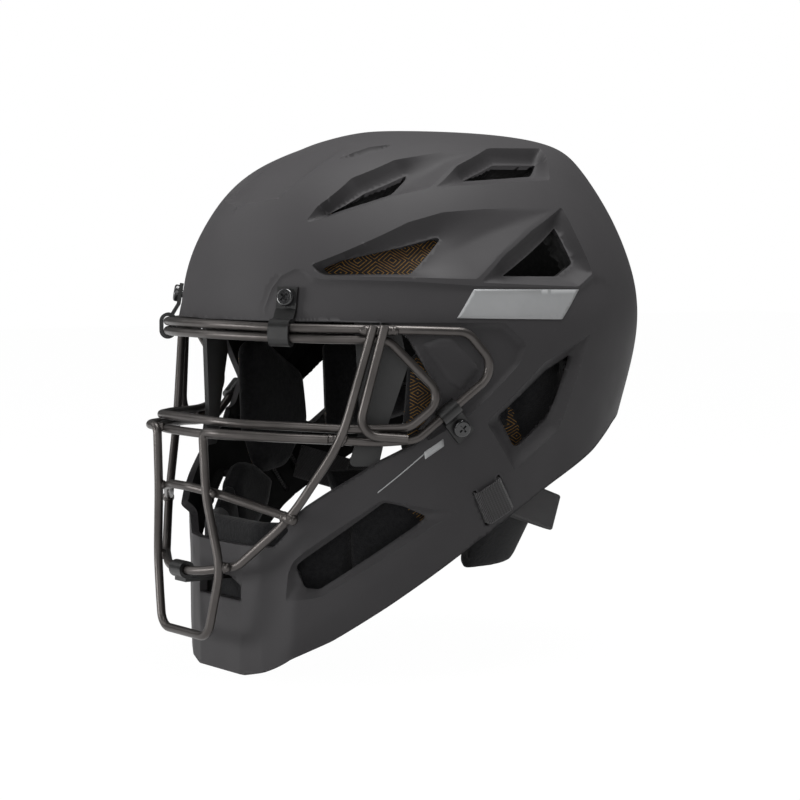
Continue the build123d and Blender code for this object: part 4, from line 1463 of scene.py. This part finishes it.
# Bare plates: outline in the side view, lift over the shell and radius of the corners
patch_margin = 0.8 * mm
patches = {
    "side_badge": (
        ((-0.315, 0.027), (-0.230, 0.078), (0.283, 0.074), (0.166, 0.021)),
        0.35 * mm, 0.4 * mm,
    ),
    "jaw_strip": (
        ((-0.580, -0.282), (-0.430, -0.214), (-0.4285, -0.2105), (-0.5785, -0.2785)),
        0.25 * mm, 0.3 * mm,
    ),
    "jaw_tab": (
        ((-0.424, -0.222), (-0.430, -0.209), (-0.360, -0.186), (-0.355, -0.199)),
        0.25 * mm, 0.3 * mm,
    ),
}


def skin_patch(name, shares, lift, radius):
    """Thin film on the shell, left and right: an outline on the skin, filled, on top of the shell's forms."""
    outline = Outline(side(shares), "side", radius)
    spots = even_grid()
    spots = spots[inside(spots, outline.spots)]
    spots, faces = filled(outline, spots[clear_of(spots, outline.line, patch_margin)])
    points = skin.place(spots)
    sink = skin_sink(spots, points) - lift
    points = points - skin_normals(spots, points) * sink[:, None]
    left = mesh_object(name + "_left", points, faces)
    a, b, c = points[faces].transpose(1, 0, 2)
    if np.cross(b - a, c - a)[:, 0].sum() < 0:
        left.data.flip_normals()
    for piece, _ in both_sides(left, name):
        solid = piece.modifiers.new("film", "SOLIDIFY")
        solid.thickness = lift
        solid.offset = -1
        smooth(piece)
        dress(piece, "badge", "shell", "root")


for patch_name, patch in patches.items():
    skin_patch(patch_name, *patch)


# Stage
floor_half = 4.0
floor_glow = 1.03
floor_whiteness = 0.96
ambient = 0.12
view_azimuth = math.radians(55)
view_rise = math.radians(4)
view_reach = 1.3
view_aim = (0.00344, -0.0061, -0.040)
view_lens = 108.8
view_sensor = 36

# Lamps: place, the point that each faces, size in metres and watts
lamps = {
    "key": ((0.2, 0.15, 1.6), (0, 0, 0), 1.0, 32),
    "left": ((-0.9, -0.9, 0.9), (0, 0, 0), 1.0, 5),
    "front": ((-0.4, -1.5, 0.0), (0, 0, -0.1), 0.6, 13),
    "side": ((1.1, -1.1, 0.6), (0, 0, 0), 1.0, 6),
}


def make_floor():
    """Pale floor that looks white to the camera and in reflections, and keeps a faint shadow."""
    level = cad_box[0][2]
    corners = ((-1, -1), (1, -1), (1, 1), (-1, 1))
    points = np.array([(x * floor_half, y * floor_half, level) for x, y in corners])
    floor = mesh_object("floor", points, [[0, 1, 2, 3]])
    look = Finish("pale_floor", (0.5, 0.5, 0.5), 0.9, specular=0.1)
    look.tint(look.noise(3, 2), (0.3, 0.49), (0.7, 0.51))
    glow = look.add("ShaderNodeEmission", Color=(1, 1, 1, 1), Strength=floor_glow)
    rays = look.add("ShaderNodeLightPath").outputs
    seen = look.maths("MAXIMUM", rays["Is Camera Ray"], rays["Is Glossy Ray"])
    seen = look.maths("MAXIMUM", seen, rays["Is Transmission Ray"])
    mix = look.add("ShaderNodeMixShader", Fac=look.maths("MULTIPLY", seen, floor_whiteness))
    look.fill(mix.inputs[1], look.shader.outputs["BSDF"])
    look.fill(mix.inputs[2], glow.outputs["Emission"])
    look.fill(look.tree.nodes["Material Output"].inputs["Surface"], mix.outputs["Shader"])
    floor.data.materials.append(look.material)


def make_world():
    """Even pale studio light, white where the camera sees it."""
    world = bpy.data.worlds.new("studio")
    bpy.context.scene.world = world
    sky = Nodes(world)
    rays = sky.add("ShaderNodeLightPath").outputs
    seen = sky.maths("MAXIMUM", rays["Is Camera Ray"], rays["Is Transmission Ray"])
    background = sky.tree.nodes["Background"]
    strength = sky.maths("ADD", sky.maths("MULTIPLY", seen, 1 - ambient), ambient)
    sky.fill(background.inputs["Strength"], strength)
    sky.fill(background.inputs["Color"], (1, 1, 1, 1))


def add_lamp(name, place, aim, size, watts):
    """Soft square lamp that faces a point."""
    lamp = bpy.data.lights.new(name, "AREA")
    lamp.size = size
    lamp.energy = watts
    holder = bpy.data.objects.new(name, lamp)
    holder.location = place
    holder.rotation_euler = (Vector(aim) - Vector(place)).to_track_quat("-Z", "Y").to_euler()
    bpy.context.scene.collection.objects.link(holder)


def make_camera():
    """Camera at the photograph's angle: to the wearer's left of the front and a little above."""
    level_x, level_y = math.sin(view_azimuth), -math.cos(view_azimuth)
    offset = Vector((level_x * math.cos(view_rise), level_y * math.cos(view_rise), math.sin(view_rise)))
    lens = bpy.data.cameras.new("view")
    lens.sensor_width = view_sensor
    lens.lens = view_lens
    camera = bpy.data.objects.new("view", lens)
    camera.location = Vector(view_aim) + offset * view_reach
    camera.rotation_euler = (-offset).to_track_quat("-Z", "Y").to_euler()
    bpy.context.scene.collection.objects.link(camera)
    bpy.context.scene.camera = camera


make_floor()
make_world()
for lamp_name, lamp_values in lamps.items():
    add_lamp(lamp_name, *lamp_values)
make_camera()
bpy.context.scene.view_settings.view_transform = "Standard"
